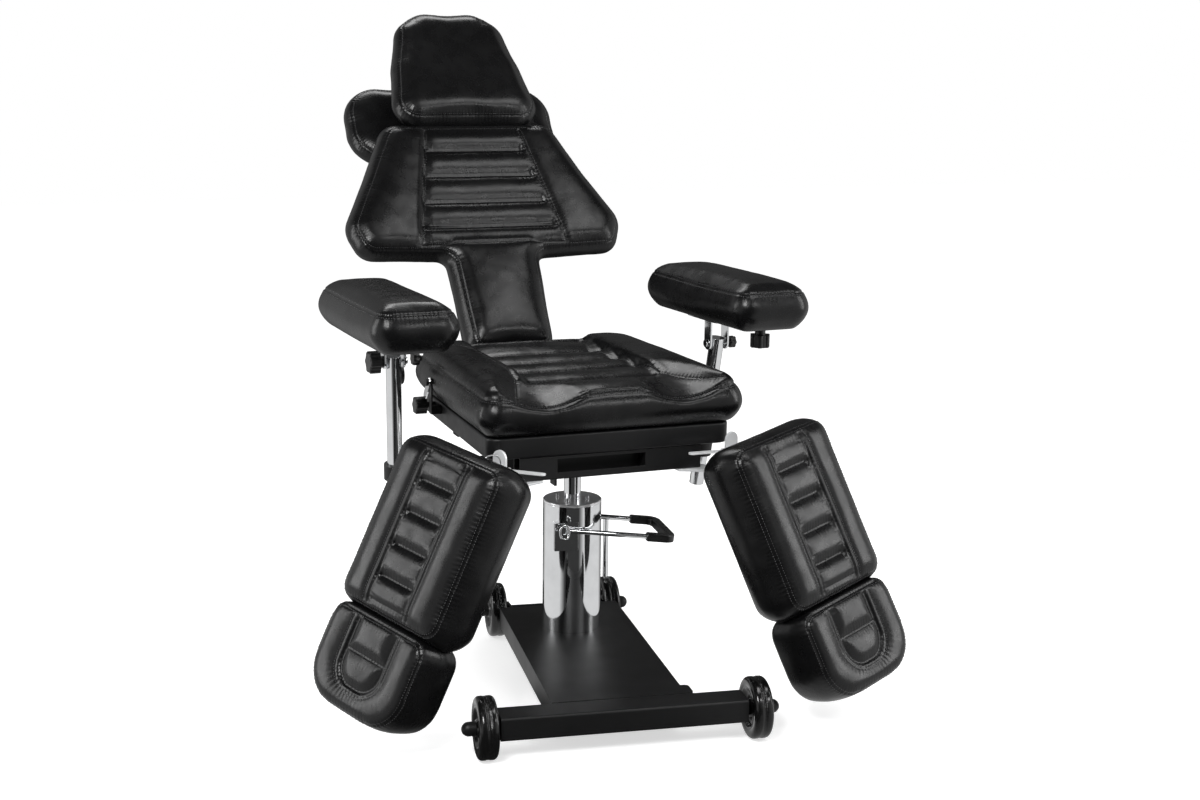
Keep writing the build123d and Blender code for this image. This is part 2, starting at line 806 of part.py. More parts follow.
arm_plate_top = arm_pad_low - face_gap
for name, side in SIDES:
    yaw = arm_yaw[side]
    clevis_y = post_point(side, clevis_hinge_z).Y
    arm_plane = Plane(Pos(*post_point(side, clevis_hinge_z)) * Rot(Z=yaw))
    pad_shift = arm_x[side] - post_point(side, clevis_hinge_z).X
    pad_y = arm_front_y + arm_pad_length / 2 - clevis_y

    with BuildPart() as post:
        add(disc(post_plane(side, post_foot[2]), post_radius,
                 (post_point(side, post_top[2]) - post_point(side, post_foot[2])).length))
        bore = side_face(arm_plane, -2 * post_radius, 0, 0)
        add(disc(bore, hinge_bolt_radius + running_gap, 4 * post_radius), mode=Mode.SUBTRACT)
    keep(post, f"arm_post_{name}")

    low = arm_plane.location.position.Z
    with BuildPart() as clevis:
        plate_plane = top_face(arm_plane, pad_shift / 2, 0, clevis_plate_low - low)
        add(rounded_block(plate_plane, clevis_plate_width, clevis_plate_length,
                          arm_plate_top - clevis_plate_low, ear_width / 2))
        for _, ear_side in SIDES:
            ear_inner = ear_side * (post_radius + ear_gap)
            ear_x = ear_inner if ear_side > 0 else ear_inner - ear_thickness
            with BuildSketch(side_face(arm_plane, ear_x, 0, 0)):
                Circle(ear_width / 2)
                with Locations((0, (clevis_plate_low - low) / 2)):
                    Rectangle(ear_width, clevis_plate_low - low)
            extrude(amount=ear_thickness)
        bolt_reach = 2 * (post_radius + ear_gap + ear_thickness)
        add(disc(side_face(arm_plane, -bolt_reach / 2, 0, 0), hinge_bolt_radius, bolt_reach))
        inner_face = side_face(arm_plane, -side * bolt_reach / 2, 0, 0)
        add(disc(inner_face, bolt_head_radius, -side * bolt_head_length))
    keep(clevis, f"arm_clevis_{name}")

    knob_start = side * bolt_reach / 2 + side * face_gap
    knob_plane = side_face(arm_plane, knob_start, 0, 0)
    if side < 0:
        knob_plane = Plane(knob_plane.origin, x_dir=knob_plane.x_dir, z_dir=-knob_plane.z_dir)
    grip_plane = knob_plane.offset(arm_knob_stem)
    stem = disc(knob_plane, arm_knob_radius[side] / 2, arm_knob_stem)
    head = lobed_knob(grip_plane, arm_knob_radius[side], arm_knob_length[side])
    with BuildPart() as arm_knob:
        add(stem)
        add(head)
    keep(arm_knob, f"arm_knob_{name}")

    pad_plane = top_face(arm_plane, pad_shift, pad_y, arm_pad_low - low)
    corner = arm_pad_corner
    arm_outline = rounded_outline(
        mirrored([(arm_pad_width / 2, -arm_pad_length / 2), (arm_pad_width / 2, arm_pad_length / 2)]),
        [corner, corner, corner, corner])
    with BuildPart() as arm_pad:
        add(pad(arm_outline, pad_plane, 0, arm_pad_height))
    keep(arm_pad, f"arm_pad_{name}")

    if side > 0:
        under_plane = top_face(arm_plane, pad_shift, under_knob_y - clevis_y, arm_pad_low - low - face_gap)
        under_plane = Plane(under_plane.origin, x_dir=under_plane.x_dir, z_dir=-under_plane.z_dir)
        under_stem = disc(under_plane, under_knob_radius / 2, under_knob_drop)
        under_head = lobed_knob(under_plane.offset(under_knob_drop), under_knob_radius, under_knob_length)
        with BuildPart() as under_knob:
            add(under_stem)
            add(under_head)
        keep(under_knob, "arm_under_knob")


def channelled(cushion, carrier, panel, seams, level, rise):
    """Cushion whose face has a panel of soft rolls, pinched along the given seams."""
    half = max(abs(corner.X) for corner in panel.vertices()) + overrun
    row = rolls(carrier, seams, half, level, rise)
    with BuildPart() as fitted:
        add(row)
        with BuildSketch(carrier.offset(level - roll_root)):
            add(panel)
        extrude(amount=roll_root + rise + overrun, mode=Mode.INTERSECT)
    with BuildPart() as made:
        add(cushion)
        with BuildSketch(carrier.offset(level - roll_root)):
            add(panel)
        extrude(amount=roll_root + crown_top_rise + overrun, mode=Mode.SUBTRACT)
        add(fitted.part)
    return made.part


# Fixed hardware on the left of the seat: the recline lever's bracket and a clamp knob
lever_side = -seat_half_at(release_y) - side_swell - lever_bracket_gap
with BuildPart() as recline_brackets:
    for _, side in SIDES:
        inner = side * plate_x if side > 0 else side * plate_x - side_plate_thickness
        with BuildSketch(side_face(seat, inner, 0, 0)):
            with Locations((hinge_y, hinge_z)):
                Circle(hinge_eye_radius)
            Polygon((rear_member_y + front_member_depth, frame_low + frame_wall),
                    (rear_member_y + front_member_depth + front_member_depth, frame_low + frame_wall),
                    (hinge_y, hinge_z - hinge_eye_radius), (hinge_y, hinge_z + hinge_eye_radius),
                    (board_rear, frame_high - frame_wall),
                    (rear_member_y + front_member_depth, frame_high - frame_wall), align=None)
        extrude(amount=side_plate_thickness)
    hinge_pin_half = plate_x + side_plate_thickness
    add(disc(side_face(seat, -hinge_pin_half, hinge_y, hinge_z), hinge_pin_radius, 2 * hinge_pin_half))
    add(block(seat, (lever_side, -seat_half_at(release_y - lever_bracket_width, board_inset)),
              (release_y - lever_bracket_width / 2, release_y + lever_bracket_width / 2),
              (cushion_low - board_thickness / 2, cushion_low - board_thickness / 2 + lever_bracket_width)))
    add(block(seat, (lever_side - lever_bracket_thickness, lever_side),
              (release_y - lever_bracket_width / 2, release_y + lever_bracket_width / 2),
              (cushion_low - board_thickness / 2, release_z + lever_bracket_width / 2)))
    add(disc(side_face(seat, lever_side - lever_bracket_thickness, release_y, release_z), hinge_bolt_radius,
             -recline_lever_thickness - 2 * face_gap))
    add(disc(side_face(seat, lever_side - lever_bracket_thickness - recline_lever_thickness - 2 * face_gap,
                       release_y, release_z), bolt_head_radius, -bolt_head_length))
keep(recline_brackets, "recline_brackets")

lever_face = lever_side - lever_bracket_thickness - face_gap
with BuildPart() as recline_lever:
    with BuildSketch(side_face(seat, lever_face, release_y, release_z)):
        Circle(recline_lever_width / 2)
        with Locations(Location((0, 0, 0), (0, 0, recline_lever_angle))):
            with Locations((recline_lever_length / 2, 0)):
                Rectangle(recline_lever_length, recline_lever_width)
            with Locations((recline_lever_length, 0)):
                Circle(recline_lever_width / 2)
        Circle(hinge_bolt_radius + running_gap, mode=Mode.SUBTRACT)
    extrude(amount=-recline_lever_thickness)
keep(recline_lever, "recline_lever")

rail_knob_x = -seat_half_at(rail_knob_y, board_inset)
rail_knob_plane = Plane((rail_knob_x - face_gap, rail_knob_y, rail_knob_z), x_dir=(0, 1, 0), z_dir=(-1, 0, 0))
rail_stem = disc(rail_knob_plane, rail_knob_radius / 3, rail_knob_stem)
rail_head = lobed_knob(rail_knob_plane.offset(rail_knob_stem), rail_knob_radius, rail_knob_length)
with BuildPart() as rail_knob:
    add(rail_stem)
    add(rail_head)
keep(rail_knob, "rail_knob")

# Leg rests

swing_low = frame_low + face_gap
with BuildPart() as leg_pivot_brackets:
    for _, side in SIDES:
        with BuildSketch(Plane.XY.offset(frame_low - pivot_plate_thickness)):
            with Locations((side * swing_x, swing_y)):
                Circle(swing_sleeve_radius)
            Polygon((side * pivot_plate_root, frame_front),
                    (side * pivot_plate_root, frame_front + front_member_depth),
                    (side * front_member_half, frame_front + front_member_depth),
                    (side * (swing_x + swing_sleeve_radius), swing_y),
                    (side * swing_x, swing_y - swing_sleeve_radius), align=None)
        extrude(amount=pivot_plate_thickness)
        pin_plane = Plane((side * swing_x, swing_y, frame_low))
        add(disc(pin_plane, swing_pin_radius, swing_sleeve_high - frame_low))
keep(leg_pivot_brackets, "leg_pivot_brackets")

leg_seams = [roll_margin - leg_length, *[-leg_length * share for share in leg_seam_shares], -roll_margin]
foot_outline = rounded_outline(
    mirrored([(foot_half_width, -foot_end), (foot_half_width, -foot_start)]),
    [foot_round, foot_corner, foot_corner, foot_round])
leg_outline = rounded_outline(
    mirrored([(leg_half_width, -leg_length), (leg_half_width, 0)]),
    [leg_corner, leg_corner, leg_corner, leg_corner])
leg_panel = rounded_outline(
    mirrored([(leg_panel_half, roll_margin - leg_length), (leg_panel_half, -roll_margin)]),
    [roll_sink, roll_sink, roll_sink, roll_sink])

for name, side in SIDES:
    pivot = Pos(side * swing_x, swing_y, 0) * Rot(Z=leg_swing[side])
    swing_plane = Plane(pivot)
    level_plane = Plane(pivot * Pos(0, -leg_forward, leg_height) * Rot(X=leg_tilt))
    tilt_plane = top_face(level_plane, 0, -tilt_pin_down, -tilt_pin_back)
    leg_plane = Plane(level_plane.location * Rot(Z=side * leg_cant))
    tilt_at = swing_plane.to_local_coords(tilt_plane.origin)

    # Swing bracket: sleeve, floor plate, two ears with the tilt pin and a domed stop
    with BuildPart() as bracket:
        add(disc(top_face(swing_plane, 0, 0, swing_low), swing_sleeve_radius, swing_sleeve_high - swing_low))
        with BuildSketch(top_face(swing_plane, 0, 0, swing_low)):
            Polygon((-swing_plate_half, tilt_at.Y - tilt_ear_radius),
                    (swing_plate_half, tilt_at.Y - tilt_ear_radius),
                    (swing_plate_half, tilt_at.Y + tilt_ear_radius),
                    (swing_sleeve_radius, swing_sleeve_radius),
                    (-swing_sleeve_radius, swing_sleeve_radius),
                    (-swing_plate_half, tilt_at.Y + tilt_ear_radius), align=None)
        extrude(amount=swing_plate_thickness)
        for _, ear_side in SIDES:
            ear_x = ear_side * ear_start if ear_side > 0 else ear_side * ear_start - tilt_ear_thickness
            with BuildSketch(side_face(swing_plane, ear_x, tilt_at.Y, tilt_at.Z)):
                Circle(tilt_ear_radius)
                with Locations((0, (swing_low - tilt_at.Z) / 2)):
                    Rectangle(2 * tilt_ear_radius, tilt_at.Z - swing_low)
            extrude(amount=tilt_ear_thickness)
        pin_half = ear_start + tilt_ear_thickness
        add(disc(side_face(swing_plane, -pin_half, tilt_at.Y, tilt_at.Z), tilt_pin_radius, 2 * pin_half))
        with BuildSketch(front_face(swing_plane, 0, dome_back, swing_sleeve_high - dome_sink)):
            with Locations((0, dome_rise)):
                Circle(dome_radius)
            with Locations((0, dome_rise / 2)):
                Rectangle(2 * dome_radius, dome_rise)
        extrude(amount=tilt_ear_thickness)
        tab_x = -side * release_pin_x
        with BuildSketch(top_face(swing_plane, 0, 0, swing_sleeve_high - swing_plate_thickness)):
            with Locations((tab_x, 0)):
                Circle(release_width / 2)
            with Locations((tab_x / 2, 0)):
                Rectangle(release_pin_x, release_width)
        extrude(amount=swing_plate_thickness)
        add(disc(top_face(swing_plane, 0, 0, swing_low), swing_pin_radius + running_gap,
                 swing_sleeve_high - swing_low), mode=Mode.SUBTRACT)
        add(disc(top_face(swing_plane, tab_x, 0, swing_sleeve_high), release_pin_radius,
                 release_thickness + 2 * face_gap))
        add(disc(top_face(swing_plane, tab_x, 0, swing_sleeve_high + release_thickness + 2 * face_gap),
                 release_pin_head, release_thickness))
    keep(bracket, f"swing_bracket_{name}")

    with BuildPart() as release:
        with BuildSketch(top_face(swing_plane, tab_x, 0, swing_sleeve_high + face_gap)):
            Circle(release_width / 2)
            reach = -side * release_length
            with Locations(Location((0, 0, 0), (0, 0, -side * release_angle))):
                with Locations((reach / 2, 0)):
                    Rectangle(release_length, release_width)
                with Locations((reach, 0)):
                    Circle(release_width / 2)
            Circle(release_pin_radius + running_gap, mode=Mode.SUBTRACT)
        extrude(amount=release_thickness)
    keep(release, f"leg_release_{name}")

    # Board behind the pad, with hinge knuckles and the guides of the slide bars
    inner_half = leg_half_width - leg_board_inset
    with BuildPart() as leg_board:
        with BuildSketch(top_face(leg_plane, 0, -leg_length / 2, 0)):
            RectangleRounded(2 * inner_half, leg_length - 2 * leg_board_inset, leg_corner / 2)
        extrude(amount=leg_board_thickness)
        for start in (-knuckle_end, knuckle_start):
            add(disc(side_face(tilt_plane, start, 0, 0), knuckle_radius, knuckle_end - knuckle_start))
            add(block(tilt_plane, (start, start + knuckle_end - knuckle_start),
                      (-knuckle_leaf, 0), (-knuckle_radius, tilt_pin_back)))
        add(disc(side_face(tilt_plane, -knuckle_end - overrun, 0, 0), tilt_pin_radius + running_gap,
                 2 * knuckle_end + 2 * overrun), mode=Mode.SUBTRACT)
        for share in guide_shares:
            low = -leg_length * share
            for _, bar_side in SIDES:
                x = bar_side * slide_bar_x
                add(block(leg_plane, (x - guide_block_width / 2, x + guide_block_width / 2),
                          (low, low + guide_block_length), (-guide_block_depth, 0)))
        for _, bar_side in SIDES:
            add(disc(front_face(leg_plane, bar_side * slide_bar_x, 0, -guide_block_depth / 2),
                     slide_bar_radius + running_gap, leg_length), mode=Mode.SUBTRACT)
    keep(leg_board, f"leg_board_{name}")

    leg_cushion = pad(leg_outline, leg_plane, leg_board_thickness + face_gap, leg_thickness)
    with BuildPart() as leg_pad:
        add(channelled(leg_cushion, leg_plane, leg_panel, leg_seams, leg_thickness, roll_rise))
    keep(leg_pad, f"leg_pad_{name}")

    with BuildPart() as foot_slide:
        foot_block = -foot_start - leg_board_inset
        middle = foot_block - foot_board_length / 2
        with BuildSketch(top_face(leg_plane, 0, middle, 0)):
            RectangleRounded(2 * foot_board_half, foot_board_length, foot_corner)
        extrude(amount=leg_board_thickness)
        for _, bar_side in SIDES:
            x = bar_side * slide_bar_x
            add(disc(front_face(leg_plane, x, -slide_bar_start, -guide_block_depth / 2), slide_bar_radius,
                     guide_block_length - foot_block - slide_bar_start))
            add(block(leg_plane, (x - guide_block_width / 2, x + guide_block_width / 2),
                      (foot_block - guide_block_length, foot_block), (-guide_block_depth, 0)))
    keep(foot_slide, f"foot_slide_{name}")

    # The foot pad is a plain block, drawn in at its back and bevelled round its face
    foot_walls = ((leg_board_thickness + face_gap, -foot_draw_in), (leg_thickness, 0))
    foot_bevel = ((leg_thickness, 0), (leg_thickness + crown_rise, -crown_inset))
    with BuildPart() as foot_pad:
        for levels in (foot_walls, foot_bevel):
            for level, grow in levels:
                with BuildSketch(leg_plane.offset(level)):
                    add(foot_outline)
                    if grow:
                        offset(amount=grow)
            loft(ruled=True)
    keep(foot_pad, f"foot_pad_{name}")

# Backrest

with BuildPart() as back_frame:
    for _, side in SIDES:
        x = (side * back_bar_x - back_bar_width / 2, side * back_bar_x + back_bar_width / 2)
        add(block(back_plane, x, (hinge_s, back_bar_top), (bar_back, bar_front)))
        add(disc(side_face(back_plane, x[0], hinge_s, hinge_n), hinge_eye_radius, back_bar_width))
    for share in back_cross_shares:
        level = hinge_s + (back_bar_top - hinge_s) * share
        cross = (level, level + back_bar_width)
        add(block(back_plane, (-back_bar_x, back_bar_x), cross, (bar_back, bar_front)))
    add(block(back_plane, (-socket_half, socket_half), (socket_low, socket_high),
              (bar_front - socket_depth, bar_front)))
    add(disc(side_face(back_plane, -back_bar_x - back_bar_width, hinge_s, hinge_n),
             hinge_pin_radius + running_gap, 2 * (back_bar_x + back_bar_width)), mode=Mode.SUBTRACT)
    for _, side in SIDES:
        add(disc(front_face(back_plane, side * head_rod_x, socket_high + overrun, head_rod_n),
                 head_rod_radius + running_gap, socket_high - socket_low + 2 * overrun), mode=Mode.SUBTRACT)
    add(block(back_plane, (-rear_bar_width / 2 - face_gap, rear_bar_width / 2 + face_gap),
              (socket_low - overrun, socket_high + overrun),
              (rear_bar_n - face_gap, rear_bar_n + rear_bar_thickness + face_gap)), mode=Mode.SUBTRACT)
keep(back_frame, "back_frame")

back_half = [(back_low_half, back_low_s), (back_waist_half, back_waist_s),
             (back_wing_low_half, back_wing_low_s), (back_tip_half, back_tip_s), (back_top_half, back_top)]
back_radii = [back_low_corner, back_waist_corner, back_wing_corner, back_tip_corner, back_top_corner]
back_outline = rounded_outline(mirrored(back_half), [*back_radii, *reversed(back_radii)])
back_panel = rounded_outline(
    mirrored([(back_panel_low_half, back_panel_low), (back_panel_top_half, back_panel_top)]),
    [roll_sink, roll_sink, roll_sink, roll_sink])
with BuildPart() as back_board:
    with BuildSketch(back_plane.offset(bar_front)):
        add(back_outline)
        offset(amount=-back_board_inset)
    extrude(amount=back_board_thickness)
keep(back_board, "back_board")

back_pad = pad(back_outline, back_plane, face_gap - back_thickness, 0)
with BuildPart() as back_cushion:
    add(channelled(back_pad, back_plane, back_panel, back_seams, 0, roll_rise))
keep(back_cushion, "back_cushion")

# Headrest on two rods

with BuildPart() as head_rods:
    for _, side in SIDES:
        add(disc(front_face(back_plane, side * head_rod_x, head_hinge_s, head_rod_n), head_rod_radius,
                 head_hinge_s - head_rod_low))
    add(disc(side_face(back_plane, -head_rod_x - head_rod_radius, head_hinge_s, head_rod_n), head_bar_radius,
             2 * (head_rod_x + head_rod_radius)))
keep(head_rods, "head_rods")

head_back = -head_thickness
head_hinge = head_plane.to_local_coords(back_plane.from_local_coords((0, head_hinge_s, head_rod_n)))
with BuildPart() as head_bracket:
    add(rounded_block(top_face(head_plane, 0, head_hinge.Y, head_back - head_plate_thickness - face_gap),
                      head_plate_width, head_plate_length, head_plate_thickness, head_ear_radius))
    for _, side in SIDES:
        ear_x = side * head_ear_x - head_ear_width / 2
        with BuildSketch(side_face(head_plane, ear_x, head_hinge.Y, head_hinge.Z)):
            Circle(head_ear_radius)
            ear_reach = head_back - head_plate_thickness - face_gap - head_hinge.Z
            with Locations((0, ear_reach / 2)):
                Rectangle(2 * head_ear_radius, ear_reach)
            Circle(head_bar_radius + running_gap, mode=Mode.SUBTRACT)
        extrude(amount=head_ear_width)
keep(head_bracket, "head_bracket")

head_outline = rounded_outline(
    mirrored([(head_low_half, head_low), (head_wide_half, head_wide), (head_mid_half, head_mid),
              (head_high_half, head_high), (head_top_half, head_top)]),
    [head_low_corner, head_side_bend, head_side_bend, head_side_bend, head_top_corner,
     head_top_corner, head_side_bend, head_side_bend, head_side_bend, head_low_corner])
with BuildPart() as headrest:
    add(pad(head_outline, head_plane, head_back, 0))
keep(headrest, "headrest")

# Wide pad behind the headrest, on a stepped bar

rear_back = rear_pad_face - rear_pad_thickness
rear_low = rear_pad_s - rear_pad_height / 2
with BuildPart() as rear_bar:
    x = (-rear_bar_width / 2, rear_bar_width / 2)
    behind = (rear_back - face_gap - rear_bar_thickness, rear_back - face_gap)
    step = (rear_low - rear_bar_step - rear_bar_thickness, rear_low - rear_bar_step)
    add(block(back_plane, x, (rear_bar_low, step[0]), (rear_bar_n, rear_bar_n + rear_bar_thickness)))
    add(block(back_plane, x, step, (behind[0], rear_bar_n + rear_bar_thickness)))
    add(block(back_plane, x, (step[1], rear_pad_s), behind))
    add(rounded_block(top_face(back_plane, 0, rear_pad_s, behind[0]), rear_plate_length, rear_plate_width,
                      rear_bar_thickness, rear_bar_thickness))
keep(rear_bar, "rear_bar")

rear_plane = top_face(back_plane, 0, rear_pad_s, rear_pad_face)
rear_outline = rounded_outline(
    mirrored([(rear_pad_half, -rear_pad_height / 2), (rear_pad_half, rear_pad_height / 2)]),
    [rear_pad_corner, rear_pad_corner, rear_pad_corner, rear_pad_corner])
with BuildPart() as rear_pad:
    add(pad(rear_outline, rear_plane, -rear_pad_thickness, 0, rise=rear_crown_rise, top=rear_crown_top))
keep(rear_pad, "rear_pad")
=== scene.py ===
"""Looks of the tattoo chair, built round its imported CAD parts."""

import json
import math

import bmesh
import bpy
import numpy as np
from mathutils import Matrix, Vector, noise
from mathutils.bvhtree import BVHTree
from mathutils.kdtree import KDTree


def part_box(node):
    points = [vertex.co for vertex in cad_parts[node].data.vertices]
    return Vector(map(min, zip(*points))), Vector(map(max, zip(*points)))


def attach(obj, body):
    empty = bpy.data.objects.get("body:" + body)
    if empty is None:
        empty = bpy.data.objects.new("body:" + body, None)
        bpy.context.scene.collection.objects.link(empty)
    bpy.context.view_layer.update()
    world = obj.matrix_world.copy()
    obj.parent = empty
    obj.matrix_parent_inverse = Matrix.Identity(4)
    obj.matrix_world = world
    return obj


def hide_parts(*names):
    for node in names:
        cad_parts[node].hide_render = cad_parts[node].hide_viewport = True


bl_info = {
    "name": "Tattoo Chair",
    "version": (1, 0, 0),
    "blender": (4, 5, 0),
    "location": "3D View > Sidebar > Chair",
    "description": "Upholstery, finishes and stage of a hydraulic tattoo chair",
    "category": "Object",
}

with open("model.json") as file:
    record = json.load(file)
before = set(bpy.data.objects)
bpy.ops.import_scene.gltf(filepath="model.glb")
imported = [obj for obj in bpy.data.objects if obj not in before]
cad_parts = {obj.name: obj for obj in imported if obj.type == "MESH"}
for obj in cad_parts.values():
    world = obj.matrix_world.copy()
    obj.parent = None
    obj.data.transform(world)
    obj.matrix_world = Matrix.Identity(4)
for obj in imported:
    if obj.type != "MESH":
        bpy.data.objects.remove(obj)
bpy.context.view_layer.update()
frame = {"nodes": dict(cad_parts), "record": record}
NODES = frame["nodes"]

# Frames that the cushions are drawn in, as in the CAD source: x across, y along, z out of the face
SIDES = (("left", -1), ("right", 1))
BASE_TURN = math.radians(-8.3)
SEAT = Matrix.Identity(4)
BACK_HINGE = (0, 0.2134, 0.4275)
BACK_TILT = math.radians(54.1)
BACK = Matrix.Translation(BACK_HINGE) @ Matrix.Rotation(BACK_TILT, 4, "X")
HEAD_FOOT = (0, 0.7302, 1.1748)
HEAD_TILT = math.radians(50.4)
HEAD = Matrix.Translation(HEAD_FOOT) @ Matrix.Rotation(HEAD_TILT, 4, "X")
REAR_MIDDLE = (0, 0.986, -0.1185)
REAR = BACK @ Matrix.Translation(REAR_MIDDLE)
LEG_PIVOT = (0.2598, -0.2612)
LEG_SWING = {-1: math.radians(-61.8), 1: math.radians(19.8)}
LEG_TOP = (0, -0.0321, 0.5352)
LEG_TILT, LEG_TWIST = 65, 8
ARM_UNDERSIDE = 0.761
ARM_YAW = {-1: math.radians(2.3), 1: math.radians(3.0)}

MERGED = 0.00002
TINY = 1e-6


def leg_frame(side):
    """Frame of a leg rest: x across, y towards the seat, z out of its face."""
    across, along = LEG_PIVOT
    return (Matrix.Translation((side * across, along, 0)) @ Matrix.Rotation(LEG_SWING[side], 4, "Z")
            @ Matrix.Translation(LEG_TOP) @ Matrix.Rotation(math.radians(LEG_TILT), 4, "X")
            @ Matrix.Rotation(math.radians(side * LEG_TWIST), 4, "Z"))


def arm_frame(side):
    """Frame of an arm pad, at the middle of its underside."""
    low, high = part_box("arm_pad_left" if side < 0 else "arm_pad_right")
    middle = (low + high) / 2
    return Matrix.Translation((middle.x, middle.y, ARM_UNDERSIDE)) @ Matrix.Rotation(ARM_YAW[side], 4, "Z")


# Settings


def measure(name, about, default, low, high):
    """Setting that is a length in metres."""
    return bpy.props.FloatProperty(name=name, description=about, default=default, min=low, max=high,
                                   unit="LENGTH")


def colour_choice(name, about, default):
    return bpy.props.FloatVectorProperty(name=name, description=about, subtype="COLOR", size=3,
                                         default=default, min=0.0, max=1.0)


class ChairUpholsterySettings(bpy.types.PropertyGroup):
    large_voxel: measure("Large Voxel", "Remesh size of the seat and the backrest", 0.0062, 0.003, 0.02)
    small_voxel: measure("Small Voxel", "Remesh size of the other cushions", 0.005, 0.003, 0.02)
    inset: measure("Inset", "How far a cushion is drawn in before it is inflated", 0.001, 0.0, 0.02)
    pressure: bpy.props.FloatProperty(
        name="Pressure", description="Pressure inside a cushion while it is inflated", default=4.0, min=0.0)
    frames: bpy.props.IntProperty(
        name="Frames", description="Frames over which a cushion is inflated", default=20, min=1)
    swell_limit: measure("Swell Limit", "Furthest that a point may move while it is inflated",
                         0.008, 0.0, 0.03)
    settle_passes: bpy.props.IntProperty(
        name="Settle Passes", description="Passes that even the swelling out between the seams",
        default=36, min=0, max=200)
    pin_width: measure("Pin Width", "Distance from a seam within which the cover is held down",
                       0.005, 0.001, 0.02)
    seam_depth: measure("Seam Depth", "Depth of a sewn seam", 0.0016, 0.0, 0.01)
    seam_width: measure("Seam Width", "Half width of a sewn seam", 0.0028, 0.001, 0.01)
    stitch_step: measure("Stitch Step", "Distance from one stitch to the next", 0.0052, 0.002, 0.02)
    stitch_length: measure("Stitch Length", "Length of one stitch", 0.0034, 0.001, 0.01)


class ChairFinishSettings(bpy.types.PropertyGroup):
    leather_colour: colour_choice("Leather Colour", "Colour of the black leatherette",
                                  (0.0032, 0.0032, 0.0034))
    leather_roughness: bpy.props.FloatProperty(
        name="Leather Roughness", description="Roughness of the leatherette", default=0.27,
        min=0.0, max=1.0, subtype="FACTOR")
    paint_colour: colour_choice("Paint Colour", "Colour of the powder coat", (0.006, 0.006, 0.0063))
    edge_radius: measure("Edge Radius", "Rounding that shading gives to the edges of metal pieces",
                         0.0012, 0.0, 0.01)


class ChairStageSettings(bpy.types.PropertyGroup):
    camera_place: bpy.props.FloatVectorProperty(
        name="Camera Place", description="Where the camera stands", size=3, subtype="TRANSLATION",
        unit="LENGTH", default=(-1.2595, -3.3017, 1.3290))
    camera_turn: bpy.props.FloatVectorProperty(
        name="Camera Turn", description="Azimuth, pitch and roll of the camera", size=3, subtype="EULER",
        unit="ROTATION", default=(math.radians(20.581), math.radians(11.365), math.radians(0.469)))
    lens: bpy.props.FloatProperty(
        name="Lens", description="Focal length in millimetres, on a 36 mm sensor", default=50.108, min=10.0)
    shift: bpy.props.FloatVectorProperty(
        name="Shift", description="Shift of the picture across and up", size=2, default=(0.02942, -0.00829))
    floor_half: bpy.props.FloatProperty(
        name="Floor Half", description="Half width of the floor", default=12.0, min=2.0, unit="LENGTH")


# Materials


def shader(tree, kind, values=None, **settings):
    """Add a node, set its properties, and set or link its inputs."""
    made = tree.nodes.new(kind)
    for name, value in settings.items():
        setattr(made, name, value)
    for name, value in (values or {}).items():
        if isinstance(value, bpy.types.NodeSocket):
            tree.links.new(value, made.inputs[name])
        else:
            made.inputs[name].default_value = value
    return made


def blank(name):
    """New material with an empty node tree and the object's own coordinates."""
    material = bpy.data.materials.new(name)
    material.use_nodes = True
    tree = material.node_tree
    tree.nodes.clear()
    place = shader(tree, "ShaderNodeTexCoord").outputs["Object"]
    return material, tree, place


def grain(tree, place, scale, detail=3.0, roughness=0.55, distortion=0.0):
    """Noise between 0 and 1 at a scale per metre."""
    return shader(tree, "ShaderNodeTexNoise", {
        "Vector": place, "Scale": scale, "Detail": detail, "Roughness": roughness,
        "Distortion": distortion}).outputs["Fac"]


def spread(tree, value, low, high, start=0.35, end=0.65):
    """Stretch a value from one range to another."""
    return shader(tree, "ShaderNodeMapRange", {
        "Value": value, "From Min": start, "From Max": end, "To Min": low, "To Max": high}).outputs["Result"]


def tone(tree, value, dark, light):
    """Mix two colours by a value."""
    mix = shader(tree, "ShaderNodeMix", data_type="RGBA")
    tree.links.new(value, mix.inputs["Factor"])
    mix.inputs["A"].default_value = (*dark, 1)
    mix.inputs["B"].default_value = (*light, 1)
    return mix.outputs["Result"]


def bump(tree, height, distance, strength=1.0, normal=None):
    """Bump from a height, over an optional earlier normal."""
    values = {"Height": height, "Distance": distance, "Strength": strength}
    if normal is not None:
        values["Normal"] = normal
    return shader(tree, "ShaderNodeBump", values).outputs["Normal"]


def surface(tree, **values):
    """Principled surface to the output."""
    given = {name.replace("_", " "): value for name, value in values.items()}
    body = shader(tree, "ShaderNodeBsdfPrincipled", given)
    shader(tree, "ShaderNodeOutputMaterial", {"Surface": body.outputs["BSDF"]})


def scaled(colour, factor):
    return tuple(min(1.0, channel * factor) for channel in colour)


def clouded(tree, value, colour, dark, light):
    """Colour that a value moves between two brightnesses."""
    return tone(tree, spread(tree, value, 0, 1), scaled(colour, dark), scaled(colour, light))


def eased(tree, radius):
    """Normal that rounds the edges off in shading."""
    return shader(tree, "ShaderNodeBevel", {"Radius": radius}, samples=4).outputs["Normal"]


